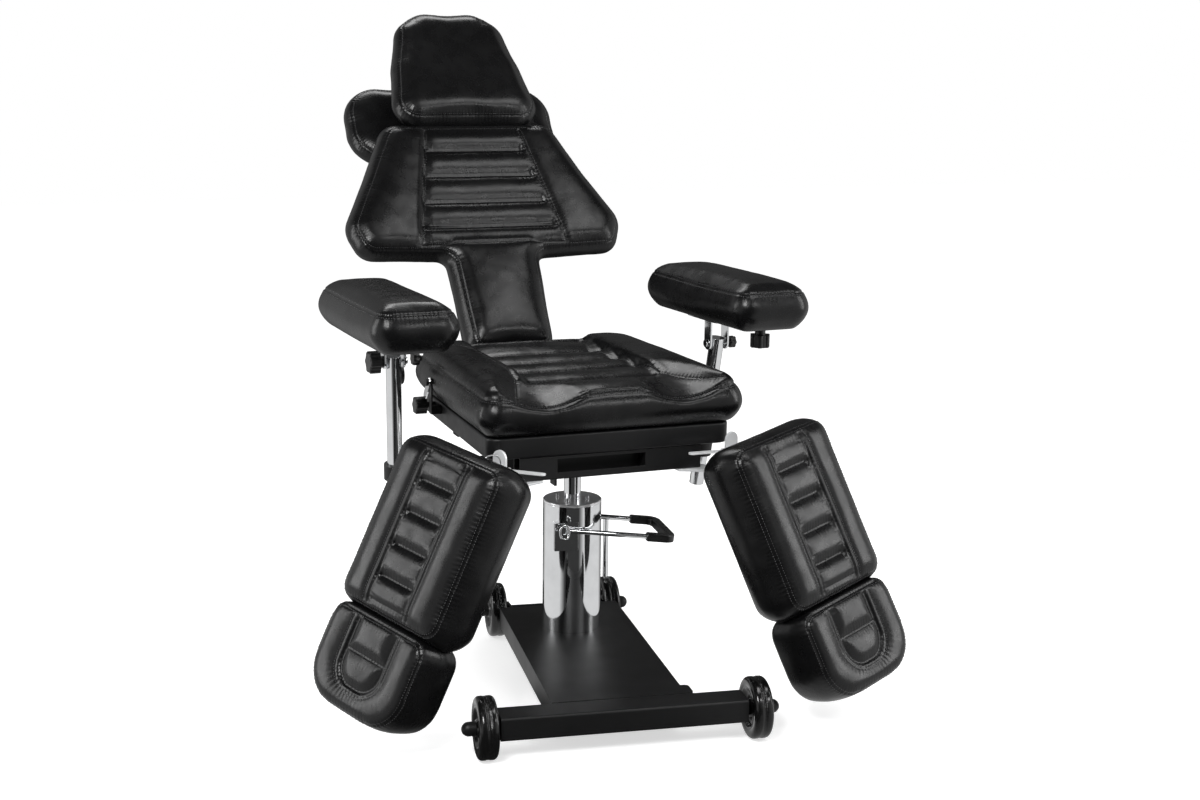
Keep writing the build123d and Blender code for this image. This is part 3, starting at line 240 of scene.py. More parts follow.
def leather(name, colour, roughness, grain_size=0.0013):
    """Black leatherette: pebbled grain, faint creases and uneven sheen."""
    material, tree, place = blank(name)
    pebble = shader(tree, "ShaderNodeTexVoronoi", {
        "Vector": place, "Scale": 1 / grain_size, "Randomness": 1.0}, feature="SMOOTH_F1").outputs["Distance"]
    crease = grain(tree, place, 190.0, 4.0, 0.6, 0.6)
    wave = grain(tree, place, 17.0, 2.0)
    normal = bump(tree, wave, 0.0008, 0.5)
    normal = bump(tree, crease, 0.00025, 0.3, normal)
    normal = bump(tree, pebble, 0.00022, 0.35, normal)
    surface(tree, Base_Color=clouded(tree, grain(tree, place, 6.0, 3.0), colour, 0.85, 1.2),
            Roughness=spread(tree, grain(tree, place, 28.0, 3.0), roughness - 0.02, roughness + 0.04),
            Specular_IOR_Level=0.3, Normal=normal)
    return material


def powder_coat(name, colour, edge_radius, roughness=0.44):
    """Satin powder coat with fine orange peel and softly rounded edges."""
    material, tree, place = blank(name)
    normal = bump(tree, grain(tree, place, 650.0, 2.0), 0.0001, 0.3, eased(tree, edge_radius))
    surface(tree, Base_Color=clouded(tree, grain(tree, place, 5.0, 2.0), colour, 0.9, 1.15),
            Roughness=spread(tree, grain(tree, place, 11.0, 2.0), roughness - 0.02, roughness + 0.03),
            Specular_IOR_Level=0.34, Normal=normal)
    return material


def plated(name, colour, roughness, edge_radius, streak=0.0, uneven=0.02, metallic=1.0):
    """Plated metal: mirror chrome or bright zinc, with faint wipe marks."""
    material, tree, place = blank(name)
    stretched = shader(tree, "ShaderNodeMapping",
                       {"Vector": place, "Scale": (1.0, 1.0, 0.06)}).outputs["Vector"]
    fine = grain(tree, stretched, 900.0, 2.0)
    cloud = grain(tree, place, 22.0, 3.0)
    normal = bump(tree, fine, 0.00003, 0.15 + streak, eased(tree, edge_radius))
    normal = bump(tree, cloud, 0.0004, 0.08 + uneven, normal)
    surface(tree, Base_Color=clouded(tree, cloud, colour, 0.92, 1.0),
            Metallic=metallic, Normal=normal,
            Roughness=spread(tree, cloud, max(roughness - 0.02, 0.02), roughness + 0.04))
    return material


def moulded(name, colour, roughness, edge_radius, grit=0.25):
    """Moulded black plastic or rubber with a fine spark texture."""
    material, tree, place = blank(name)
    normal = bump(tree, grain(tree, place, 1400.0, 2.0), 0.00012, grit, eased(tree, edge_radius))
    surface(tree, Base_Color=clouded(tree, grain(tree, place, 40.0), colour, 0.8, 1.3),
            Roughness=spread(tree, grain(tree, place, 60.0), roughness - 0.05, roughness + 0.06),
            Specular_IOR_Level=0.45, Normal=normal)
    return material


RIB_COUNT = 132


def tyre_rubber(name):
    """Glossy black wheel whose tread has fine cross ribs, from its own UV map."""
    material, tree, place = blank(name)
    around = shader(tree, "ShaderNodeUVMap", uv_map="tread").outputs["UV"]
    parts = shader(tree, "ShaderNodeSeparateXYZ", {"Vector": around})
    ribs = shader(tree, "ShaderNodeMath", {0: parts.outputs["X"], 1: 2 * math.pi * RIB_COUNT},
                  operation="MULTIPLY")
    wave = shader(tree, "ShaderNodeMath", {0: ribs.outputs["Value"]}, operation="SINE")
    band = shader(tree, "ShaderNodeMath", {0: wave.outputs["Value"], 1: parts.outputs["Y"]},
                  operation="MULTIPLY")
    normal = bump(tree, band.outputs["Value"], 0.0004, 0.35)
    normal = bump(tree, grain(tree, place, 300.0, 1.0), 0.00003, 0.1, normal)
    surface(tree, Base_Color=tone(tree, spread(tree, grain(tree, place, 12.0), 0, 1),
                                  (0.003, 0.003, 0.003), (0.005, 0.005, 0.005)),
            Roughness=spread(tree, grain(tree, place, 12.0), 0.14, 0.2), Specular_IOR_Level=0.5,
            Normal=normal)
    return material


def woven(name):
    """Black lining cloth over the boards."""
    material, tree, place = blank(name)
    threads = [shader(tree, "ShaderNodeTexWave", {"Vector": place, "Scale": 260.0, "Distortion": 1.2},
                      bands_direction=axis).outputs["Fac"] for axis in ("X", "Y")]
    cross = shader(tree, "ShaderNodeMath", {0: threads[0], 1: threads[1]}, operation="MULTIPLY")
    surface(tree, Base_Color=tone(tree, cross.outputs["Value"], (0.004, 0.004, 0.004),
                                  (0.014, 0.014, 0.015)),
            Roughness=spread(tree, grain(tree, place, 50.0), 0.7, 0.9),
            Normal=bump(tree, cross.outputs["Value"], 0.0003, 0.5))
    return material


def thread(name):
    """Black sewing thread with a slight twist, its colour lifted to grey in spots as painted glints."""
    material, tree, place = blank(name)
    twist_and_glint = grain(tree, place, 2600.0, 1.0)
    # Colour runs from black to grey along the twist: the grey end is a painted glint, while the bump is the
    # real twist.
    surface(tree, Base_Color=tone(tree, twist_and_glint, (0.025, 0.025, 0.026), (0.09, 0.09, 0.092)),
            Roughness=spread(tree, grain(tree, place, 500.0), 0.3, 0.45),
            Normal=bump(tree, twist_and_glint, 0.0002, 0.5))
    return material


def finishes():
    """All materials of the chair, made once."""
    if "chair_leather" not in bpy.data.materials:
        look = bpy.context.scene.chair_finish
        leather("chair_leather", look.leather_colour, look.leather_roughness)
        leather("chair_vinyl", scaled(look.leather_colour, 1.6), look.leather_roughness + 0.12, 0.0009)
        powder_coat("chair_paint", look.paint_colour, look.edge_radius)
        plated("chair_chrome", (0.86, 0.87, 0.88), 0.05, look.edge_radius)
        plated("chair_lid", (0.9, 0.9, 0.91), 0.2, look.edge_radius, 0.1, 0.05, metallic=0.6)
        plated("chair_zinc", (0.86, 0.87, 0.88), 0.4, look.edge_radius, 0.3, 0.12, metallic=0.45)
        plated("chair_steel", (0.55, 0.55, 0.56), 0.32, look.edge_radius, 0.3, 0.1)
        moulded("chair_knob", (0.007, 0.007, 0.007), 0.36, 0.002)
        moulded("chair_grip", (0.006, 0.006, 0.006), 0.3, 0.002)
        tyre_rubber("chair_wheel")
        woven("chair_cloth")
        thread("chair_thread")
    return bpy.data.materials


SLOT_FINISH = {
    "leather_black": "chair_leather", "frame_black": "chair_paint", "chrome": "chair_chrome",
    "steel_inner": "chair_steel", "zinc": "chair_zinc", "board_wood": "chair_cloth",
    "wheel_black": "chair_wheel", "knob_black": "chair_knob",
}
OWN_FINISH = {"lever_grip": "chair_grip", "pump_lid": "chair_lid"}


# Upholstery


def placed(name, data):
    """New object in the scene."""
    piece = bpy.data.objects.new(name, data)
    bpy.context.scene.collection.objects.link(piece)
    return piece


def finished(mesh, name, material, body):
    """Object from a mesh that lies in the row frame, riding on a body."""
    mesh.materials.clear()
    mesh.materials.append(finishes()[material])
    piece = placed(name, mesh)
    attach(piece, body)
    return piece


def coordinates(mesh):
    found = np.empty(len(mesh.vertices) * 3)
    mesh.vertices.foreach_get("co", found)
    return found.reshape(-1, 3)


def normals(mesh):
    found = np.empty(len(mesh.vertices) * 3)
    mesh.vertex_normals.foreach_get("vector", found)
    return found.reshape(-1, 3)


def move(mesh, points):
    mesh.vertices.foreach_set("co", np.ascontiguousarray(points, dtype=np.float64).ravel())
    mesh.update()


def applied(piece):
    """New mesh of an object with its modifiers applied. The object goes."""
    graph = bpy.context.evaluated_depsgraph_get()
    mesh = bpy.data.meshes.new_from_object(piece.evaluated_get(graph), depsgraph=graph)
    bpy.data.objects.remove(piece)
    return mesh


def modified(mesh, kind, **settings):
    """New mesh of a mesh under one modifier."""
    piece = placed("modified", mesh)
    modifier = piece.modifiers.new(kind, kind)
    for name, value in settings.items():
        setattr(modifier, name, value)
    return applied(piece)


def opened(mesh, turn=None):
    """Mesh to edit, turned if asked and with its doubled vertices merged."""
    shape = bmesh.new()
    shape.from_mesh(mesh)
    if turn is not None:
        bmesh.ops.transform(shape, matrix=turn, verts=shape.verts)
    bmesh.ops.remove_doubles(shape, verts=shape.verts, dist=MERGED)
    return shape


def written(shape, mesh, outward=True, smooth=True):
    """Write an edited mesh back, with its faces outward and smooth."""
    if outward:
        bmesh.ops.recalc_face_normals(shape, faces=shape.faces)
    for face in shape.faces:
        face.smooth = smooth
    shape.to_mesh(mesh)
    shape.free()
    return mesh


def neighbours(mesh):
    """Pairs of vertices that share an edge."""
    pairs = np.empty(len(mesh.edges) * 2, dtype=np.int32)
    mesh.edges.foreach_get("vertices", pairs)
    return pairs.reshape(-1, 2)


def relaxed(values, pairs, factors, free=None):
    """Vectors of the vertices drawn towards the mean of their neighbours, once for each factor."""
    count = len(values)
    first, last = pairs[:, 0], pairs[:, 1]
    share = 1 / np.maximum(np.bincount(pairs.ravel(), minlength=count), 1)
    for factor in factors:
        mean = np.stack([np.bincount(first, values[last, axis], count)
                         + np.bincount(last, values[first, axis], count) for axis in range(3)], axis=1)
        step = (mean * share[:, None] - values) * factor
        values = values + (step if free is None else step * free[:, None])
    return values


def filled_out(mesh, high, bulge, widen=0.0, deepen=0.0, rise=0.0, shift=(0.0, 0.0)):
    """Points of a cushion whose walls swell outwards, mostly below the edge seam at the level high.

    The back may also be widened and set deeper, the face raised, and the whole moved sideways.
    """
    points, up = coordinates(mesh), normals(mesh)
    low = points[:, 2].min()
    share = np.clip((points[:, 2] - low) / (high - low), 0, 1)
    reach = bulge * (0.35 + 0.65 * np.sin(math.pi * share)) + widen * (1 - share)
    points[:, :2] += up[:, :2] * reach[:, None] + np.array(shift)
    points[:, 2] += rise * share - deepen * (1 - share)
    return points


def corners_rounded(points, half_at, ends, corners):
    """Outline corners at both ends of a cushion drawn in, each from its own radius to a larger one."""
    out = points.copy()
    for end, (own, radius), toward in zip(ends, corners, (-1, 1)):
        across = (np.abs(points[:, 0]) - half_at(points[:, 1])) / radius + 1
        along = (points[:, 1] - end) * toward / radius + 1
        near = (across > 0) & (along > 0)
        length = np.maximum(np.hypot(across, along), TINY)
        x, y = across / length, along / length
        share = 1 - own / radius
        inner = share * (x + y)
        arc = inner + np.sqrt(np.maximum(inner ** 2 - 2 * share ** 2 + (own / radius) ** 2, 0))
        wide, narrow = np.maximum(x, y), np.minimum(x, y)
        rim = np.where(narrow > share * wide, arc, 1 / np.maximum(wide, TINY))
        inward = radius * (1 - 1 / rim)
        out[near, 0] -= (np.sign(points[:, 0]) * across * inward)[near]
        out[near, 1] -= (toward * along * inward)[near]
    return out


def cleaned(node, carrier, voxel, smooth_passes):
    """Copy of a CAD cushion in its own frame, remeshed evenly and softened without shrinking."""
    mesh = NODES[node].data.copy()
    written(opened(mesh, carrier.inverted()), mesh, smooth=False)
    made = modified(mesh, "REMESH", mode="VOXEL", voxel_size=voxel)
    move(made, relaxed(coordinates(made), neighbours(made), (0.5, 0.5, *(0.5, -0.52) * smooth_passes)))
    return made


def dense(points, closed=False, step=0.002):
    """Points of a path at an even step."""
    chain = [Vector(point) for point in points]
    if closed:
        chain.append(chain[0])
    out = []
    for start, end in zip(chain, chain[1:]):
        count = max(1, int(round((end - start).length / step)))
        out += [start.lerp(end, n / count) for n in range(count)]
    if not closed:
        out.append(chain[-1])
    return out


def rounded(corners, radii, level, arc_steps=10):
    """Closed outline at a level whose corners are rounded by arcs."""
    out = []
    count = len(corners)
    for index, (corner, radius) in enumerate(zip(corners, radii)):
        here = Vector(corner)
        before = (Vector(corners[index - 1]) - here).normalized()
        after = (Vector(corners[(index + 1) % count]) - here).normalized()
        half = before.angle(after) / 2
        reach = radius / math.tan(half)
        middle = here + (before + after).normalized() * radius / math.sin(half)
        first, last = here + before * reach - middle, here + after * reach - middle
        sweep = first.angle_signed(last)
        for n in range(arc_steps + 1):
            turn = -sweep * n / arc_steps
            out.append(middle + Vector((first.x * math.cos(turn) - first.y * math.sin(turn),
                                        first.x * math.sin(turn) + first.y * math.cos(turn))))
    return [(point.x, point.y, level) for point in out]


def both_halves(half):
    """Corners of a right half, then the same on the left in reverse."""
    return [*half, *[(-x, y) for x, y in reversed(half)]]


class Seam:
    """Sewn line of a cushion, in the cushion's own frame. Rows are its stitches' distances to each side."""
    face = True
    closed = False
    rows = (0.0,)
    pinch, pinch_width = 0.0, 0.012
    depth, gather = 1.0, 0.0
    holds = True

    def __init__(self, points, **traits):
        self.__dict__.update(traits)
        self.points = dense(points, self.closed)


def laid(seam, tree, reach=0.08):
    """Seam's points on the cushion's surface: straight down onto its face, or the nearest place."""
    out = []
    for point in seam.points:
        if seam.face:
            hit = tree.ray_cast(point + Vector((0, 0, reach)), Vector((0, 0, -1)))
        else:
            hit = tree.find_nearest(point)
        out.append(hit[0] if hit[0] is not None else point)
    for _ in range(6):
        ends = (out[-1], out[0]) if seam.closed else (out[0], out[-1])
        ring = [ends[0], *out, ends[1]]
        out = [(ring[n - 1] + ring[n] * 2 + ring[n + 1]) / 4 for n in range(1, len(ring) - 1)]
    return out


def surface_tree(mesh):
    return BVHTree.FromPolygons([vertex.co for vertex in mesh.vertices],
                                [face.vertices for face in mesh.polygons])


def seam_distance(mesh, lines):
    """For every vertex its distance to the nearest point of any line, that line and the length along it."""
    total = sum(len(line) for line in lines)
    tree = KDTree(total)
    owner, along = [], []
    for index, line in enumerate(lines):
        walked = 0.0
        for number, point in enumerate(line):
            if number:
                walked += (point - line[number - 1]).length
            tree.insert(point, len(owner))
            owner.append(index)
            along.append(walked)
    tree.balance()
    found = [tree.find(vertex.co) for vertex in mesh.vertices]
    near = np.array([item[1] for item in found])
    return (np.array([item[2] for item in found]), np.array(owner)[near], np.array(along)[near])


CLOTH = {"quality": 4, "mass": 0.25, "tension_stiffness": 18, "compression_stiffness": 12,
         "shear_stiffness": 6, "bending_stiffness": 1.5, "use_pressure": True}


def inflated(mesh, held, settings):
    """Cushion blown up by cloth pressure with its held points pinned, then capped."""
    rest = coordinates(mesh)
    pairs = neighbours(mesh)
    piece = placed("inflate", mesh)
    group = piece.vertex_groups.new(name="held")
    group.add([int(index) for index in np.nonzero(held)[0]], 1.0, "REPLACE")
    cloth = piece.modifiers.new("Cloth", "CLOTH")
    for name, value in CLOTH.items():
        setattr(cloth.settings, name, value)
    cloth.settings.uniform_pressure_force = settings.pressure
    cloth.settings.effector_weights.gravity = 0
    cloth.settings.vertex_group_mass = "held"
    cloth.point_cache.frame_start = 1
    cloth.point_cache.frame_end = settings.frames
    scene = bpy.context.scene
    for number in range(1, settings.frames + 1):
        scene.frame_set(number)
    blown = applied(piece)
    shift = coordinates(blown) - rest
    bpy.data.meshes.remove(blown)
    scene.frame_set(1)
    length = np.linalg.norm(shift, axis=1)
    shift *= np.minimum(1.0, settings.swell_limit / np.maximum(length, 1e-9))[:, None]
    return rest + relaxed(shift, pairs, (0.7,) * settings.settle_passes, ~held)


def wrinkle(points, size, seed):
    """Smooth unevenness between -1 and 1 at each point."""
    offset = Vector((seed, seed * 0.7, -seed))
    return np.array([noise.noise(Vector(point) / size + offset) for point in points])


STITCH_HALF_WIDTH, STITCH_HEIGHT, STITCH_LIFT = 0.00055, 0.00045, 0.0002
STITCH_BATCH = 60


def stitch_mesh(rows, tree, settings):
    """Small raised stitches along rows of points on a surface."""
    whole = bmesh.new()
    spots = []
    for row in rows:
        walked, goal = 0.0, settings.stitch_step / 2
        for start, end in zip(row, row[1:]):
            length = (end - start).length
            while length and walked + length >= goal:
                spots.append((start.lerp(end, (goal - walked) / length), (end - start).normalized()))
                goal += settings.stitch_step
            walked += length
    size = Matrix.Diagonal((settings.stitch_length / 2, STITCH_HALF_WIDTH, STITCH_HEIGHT, 1.0))
    for first in range(0, len(spots), STITCH_BATCH):
        part = bmesh.new()
        for point, along in spots[first:first + STITCH_BATCH]:
            place, up, _, _ = tree.find_nearest(point)
            if place is None:
                continue
            across = up.cross(along).normalized()
            along = across.cross(up).normalized()
            turn = Matrix((along, across, up)).transposed().to_4x4()
            bmesh.ops.create_icosphere(part, subdivisions=1, radius=1.0,
                                       matrix=Matrix.Translation(place + up * STITCH_LIFT) @ turn @ size)
        batch = bpy.data.meshes.new("batch")
        part.to_mesh(batch)
        part.free()
        whole.from_mesh(batch)
        bpy.data.meshes.remove(batch)
    return written(whole, bpy.data.meshes.new("stitches"), smooth=False)


def beside(line, tree, offset, closed):
    """Line moved sideways across the surface by an offset."""
    out = []
    count = len(line)
    for number, point in enumerate(line):
        after = line[(number + 1) % count] if closed or number + 1 < count else point
        before = line[number - 1] if closed or number else point
        along = (after - before).normalized()
        place, up, _, _ = tree.find_nearest(point)
        if place is None:
            continue
        moved = point + up.cross(along).normalized() * offset
        out.append(tree.find_nearest(moved)[0])
    if closed and out:
        out.append(out[0])
    return out


BACK_HELD = 0.004
GATHER_REACH, GATHER_PITCH = 0.016, 0.0085
UNEVEN = 0.001
UNEVEN_START = 0.02
SMALL_PASSES, LARGE_PASSES = 6, 12


def sewn(node, carrier, seams, form, seed, corners=None, large=False):
    """Cushion in its own frame, and its stitches: remeshed, inflated, subdivided and sewn.

    The first seam runs round the edge of the face. The form says how the walls fill out under it.
    """
    settings = bpy.context.scene.chair_upholstery
    mesh = cleaned(node, carrier, settings.large_voxel if large else settings.small_voxel,
                   LARGE_PASSES if large else SMALL_PASSES)
    if corners:
        move(mesh, corners_rounded(coordinates(mesh), *corners))
    move(mesh, filled_out(mesh, seams[0].points[0].z, **form))
    points = coordinates(mesh)
    low = points[:, 2].min()
    move(mesh, points - normals(mesh) * settings.inset)
    tree = surface_tree(mesh)
    lines = [laid(seam, tree) for seam in seams]
    distance, owner, _ = seam_distance(mesh, lines)
    pinch = np.array([seam.pinch for seam in seams])[owner]
    width = np.array([seam.pinch_width for seam in seams])[owner]
    points = coordinates(mesh)
    points -= normals(mesh) * (pinch * np.exp(-(distance / width) ** 2))[:, None]
    move(mesh, points)
    holds = np.array([seam.holds for seam in seams])[owner]
    held = (holds & (distance < settings.pin_width)) | (points[:, 2] < low + BACK_HELD)
    move(mesh, inflated(mesh, held, settings))
    fine = modified(mesh, "SUBSURF", levels=1, render_levels=1)
    points = coordinates(fine)
    up = normals(fine)
    tree = surface_tree(fine)
    lines = [laid(seam, tree) for seam in seams]
    distance, owner, along = seam_distance(fine, lines)
    depth = settings.seam_depth * np.array([seam.depth for seam in seams])[owner]
    groove = depth * np.exp(-(distance / settings.seam_width) ** 2)
    gather = np.array([seam.gather for seam in seams])[owner]
    ripple = gather * np.exp(-(distance / GATHER_REACH) ** 2) * np.sin(
        along * 2 * math.pi / GATHER_PITCH + 2.5 * wrinkle(points, 0.03, seed + 3))
    soft = UNEVEN * wrinkle(points, 0.075, seed) + UNEVEN * 0.35 * wrinkle(points, 0.026, seed + 9)
    soft *= np.clip((points[:, 2] - low) / UNEVEN_START, 0, 1)
    move(fine, points + up * (soft - groove + ripple)[:, None])
    for face in fine.polygons:
        face.use_smooth = True
    tree = surface_tree(fine)
    rows = [beside(line, tree, offset, seam.closed)
            for seam, line in zip(seams, lines) for offset in seam.rows]
    return fine, stitch_mesh(rows, tree, settings)


def show_cushion(name, node, body, carrier, made):
    """Put a sewn cushion and its stitches into the scene in place of its CAD node."""
    mesh, stitches = made[0].copy(), made[1].copy()
    mesh.transform(carrier)
    stitches.transform(carrier)
    piece = finished(mesh, name, "chair_leather", body)
    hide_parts(node)
    if len(stitches.vertices):
        finished(stitches, f"{name}_stitches", "chair_thread", body)


DOUBLE = (-0.0042, 0.0042)


def edge_seam(half, radii, level=0.0, rows=(0.004,)):
    """Seam round the edge of a face, from the corners of its right half and their radii."""
    outline = rounded(both_halves(half), [*radii, *reversed(radii)], level)
    return Seam(outline, face=False, closed=True, rows=rows, gather=0.0003, holds=False)


def channel(left, right, along, level, pinch=0.002, width=0.01, depth=1.3, gather=0.0003, rows=()):
    """Seam straight across a face."""
    return Seam([(left, along, level), (right, along, level)], rows=rows, pinch=pinch, pinch_width=width,
                depth=depth, gather=gather)


def seat_seams():
    """Edge seam with its wave at the front, side bolsters and cross channels."""
    level = 0.660
    outline = rounded(both_halves([(0.277, -0.242), (0.259, 0.345)]), [0.03, 0.075, 0.075, 0.03], level)
    wave_start, wave_middle, wave_width = -0.12, 0.15, 0.075
    edge = []
    for x, y, z in dense(outline, closed=True, step=0.004):
        front = max(0.0, min(1.0, (wave_start - y) / 0.12))
        dip = 0.018 if x < 0 else 0.009
        edge.append((x, y, z - front * dip * math.exp(-((abs(x) - wave_middle) / wave_width) ** 2)))
    seams = [Seam(edge, face=False, closed=True, rows=DOUBLE, pinch=0.002, pinch_width=0.006, gather=0.0004)]
    left = [(-0.207, -0.236), (-0.166, -0.104), (-0.158, 0.206), (-0.20, 0.30)]
    right = [(0.252, -0.228), (0.156, -0.104), (0.126, 0.16), (0.118, 0.206), (0.135, 0.30)]
    for path, row in ((left, 0.0034), (right, -0.0034)):
        seams.append(Seam([(x, y, level) for x, y in path], rows=(row,), pinch=0.002, gather=0.0003))
    for along in (-0.104, 0.0, 0.103, 0.206):
        share = (along + 0.104) / 0.31
        seams.append(channel(-0.164 + 0.006 * share, 0.154 - 0.034 * share, along, level, gather=0.0002))
    return seams


def back_seams():
    """Edge seam, two slanting bolster seams, cross channels and the seam above the lumbar pad."""
    half = [(0.092, 0.282), (0.101, 0.541), (0.312, 0.550), (0.336, 0.612), (0.206, 0.885)]
    seams = [edge_seam(half, [0.022, 0.040, 0.030, 0.040, 0.034])]
    low, high, low_half, high_half = 0.556, 0.879, 0.183, 0.122
    for _, side in SIDES:
        seams.append(Seam([(side * low_half, low, 0), (side * high_half, high, 0)], rows=DOUBLE,
                          pinch=0.004, pinch_width=0.012, gather=0.0004))
    for along in (low, 0.600, 0.671, 0.745, 0.818):
        half_width = low_half - (along - low) * (0.061 / 0.323)
        seams.append(channel(-half_width, half_width, along, 0, rows=(0.0034,) if along == low else ()))
    return seams


def leg_seams():
    """Edge seam, a strip on each side of the panel and its cross channels."""
    length, level, inner, outer = 0.332, 0.1, 0.052, 0.064
    seams = [edge_seam([(0.137, -length), (0.137, 0.0)], [0.028, 0.028], level, DOUBLE)]
    for _, side in SIDES:
        for across, rows, gather in ((inner, (), 0.0003), (outer, (-0.003 * side,), 0.0)):
            seams.append(Seam([(side * across, -0.322, level), (side * across, -0.010, level)], rows=rows,
                              pinch=0.0025, pinch_width=0.008, gather=gather))
    for share in (0.8, 0.6, 0.4, 0.2):
        seams.append(channel(-inner, inner, -length * share, level, pinch=0.001, width=0.009, depth=0.7))
    return seams


def foot_seams():
    """Edge seam, a U-shaped panel with a second row round it and one cross channel."""
    level, panel_half, panel_high, panel_low, panel_turn = 0.1, 0.056, -0.358, -0.482, 0.045
    seams = [edge_seam([(0.130, -0.530), (0.130, -0.350)], [0.072, 0.026], level, DOUBLE)]
    for grow, rows, pinch in ((0.0, (), 0.006), (0.012, (0.003,), 0.002)):
        half, low, turn = panel_half + grow, panel_low - grow, panel_turn + grow
        arc = [(half - turn + turn * math.cos(angle), low + turn - turn * math.sin(angle), level)
               for angle in np.linspace(0, math.pi / 2, 12)]
        path = [(half, panel_high, level), *arc, *[(-x, y, z) for x, y, z in reversed(arc)],
                (-half, panel_high, level)]
        seams.append(Seam(path, rows=rows, pinch=pinch, pinch_width=0.012, gather=0.0003))
    seams.append(channel(-panel_half, panel_half, -0.418, level, pinch=0.006, width=0.013))
    return seams


HEAD_HALF = [(0.169, 0.004), (0.173, 0.052), (0.157, 0.165), (0.127, 0.285), (0.112, 0.327)]
HEAD_BENDS = [0.045, 0.06, 0.06, 0.06, 0.06]
HEAD_ENDS = (0.004, 0.327)
HEAD_CORNERS = ((0.024, 0.045), (0.020, 0.060))
REAR_HALF, REAR_BENDS = [(0.265, -0.101), (0.265, 0.101)], [0.082, 0.082]
ARM_HALF, ARM_BENDS, ARM_EDGE_LEVEL = [(0.074, -0.216), (0.074, 0.216)], [0.026, 0.026], 0.0715
ARM_SHIFT = {-1: (-0.012, 0, -0.007), 1: (-0.018, 0, 0.001)}

# How the walls of each cushion fill out
SEAT_FORM = {"bulge": 0.009, "shift": (0.003, 0.0)}
BACK_FORM = {"bulge": 0.011, "shift": (-0.005, 0.008)}
HEAD_FORM = {"bulge": 0.012, "shift": (-0.002, 0.0)}
REAR_FORM = {"bulge": 0.009}
LEG_FORM = {"bulge": 0.008, "widen": 0.006, "deepen": 0.028}
FOOT_FORM = {"bulge": 0.011, "widen": 0.020, "deepen": 0.024, "shift": (0.0, 0.004)}
ARM_FORM = {"bulge": 0.012, "rise": 0.010, "deepen": 0.006}


def head_half(along):
    """Half width of the headrest at a distance along it."""
    return np.interp(along, [y for _, y in HEAD_HALF], [x for x, _ in HEAD_HALF])


class CHAIR_OT_seat(bpy.types.Operator):
    """Make the seat cushion and the smooth vinyl band under it"""
    bl_idname = "chair.seat"
    bl_label = "Make Seat"

    def execute(self, context):
        made = sewn("seat_cushion", SEAT, seat_seams(), SEAT_FORM, 1.3, large=True)
        show_cushion("seat_leather", "seat_cushion", "seat", SEAT, made)
        mesh = NODES["seat_board"].data.copy()
        shape = opened(mesh)
        sharp = [edge for edge in shape.edges if len(edge.link_faces) == 2
                 and edge.calc_face_angle() > math.radians(60)]
        bmesh.ops.bevel(shape, geom=sharp, offset=0.005, segments=4, profile=0.5, affect="EDGES",
                        material=-1)
        band = finished(written(shape, mesh, outward=False), "seat_band", "chair_vinyl", "seat")
        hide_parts("seat_board")
        return {"FINISHED"}


class CHAIR_OT_backrest(bpy.types.Operator):
    """Make the winged backrest with its channels"""
    bl_idname = "chair.backrest"
    bl_label = "Make Backrest"

    def execute(self, context):
        made = sewn("back_cushion", BACK, back_seams(), BACK_FORM, 4.1, large=True)
        show_cushion("back_leather", "back_cushion", "backrest", BACK, made)
        return {"FINISHED"}


class CHAIR_OT_head_pads(bpy.types.Operator):
    """Make the headrest and the wide pad behind it"""
    bl_idname = "chair.head_pads"
    bl_label = "Make Head Pads"

    def execute(self, context):
        made = sewn("headrest", HEAD, [edge_seam(HEAD_HALF, HEAD_BENDS)], HEAD_FORM, 6.2,
                    (head_half, HEAD_ENDS, HEAD_CORNERS))
        show_cushion("head_leather", "headrest", "headrest_pad", HEAD, made)
        made = sewn("rear_pad", REAR, [edge_seam(REAR_HALF, REAR_BENDS)], REAR_FORM, 7.7)
        show_cushion("rear_leather", "rear_pad", "rear_support", REAR, made)
        return {"FINISHED"}


class CHAIR_OT_leg_pads(bpy.types.Operator):
    """Make the leg and foot pads of both sides"""
    bl_idname = "chair.leg_pads"
    bl_label = "Make Leg Pads"

    def execute(self, context):
        for kind, seams, form in (("leg", leg_seams(), LEG_FORM), ("foot", foot_seams(), FOOT_FORM)):
            made = sewn(f"{kind}_pad_right", leg_frame(1), seams, form, 2.9)
            for name, side in SIDES:
                show_cushion(f"{kind}_leather_{name}", f"{kind}_pad_{name}", f"{kind}_rest_{name}",
                             leg_frame(side), made)
        return {"FINISHED"}


class CHAIR_OT_arm_pads(bpy.types.Operator):
    """Make both arm pads"""
    bl_idname = "chair.arm_pads"
    bl_label = "Make Arm Pads"

    def execute(self, context):
        seams = [edge_seam(ARM_HALF, ARM_BENDS, ARM_EDGE_LEVEL, DOUBLE)]
        made = sewn("arm_pad_right", arm_frame(1), seams, ARM_FORM, 8.4)
        for name, side in SIDES:
            show_cushion(f"arm_leather_{name}", f"arm_pad_{name}", f"arm_rest_{name}",
                         Matrix.Translation(ARM_SHIFT[side]) @ arm_frame(side), made)
        return {"FINISHED"}


# Wheels and hardware


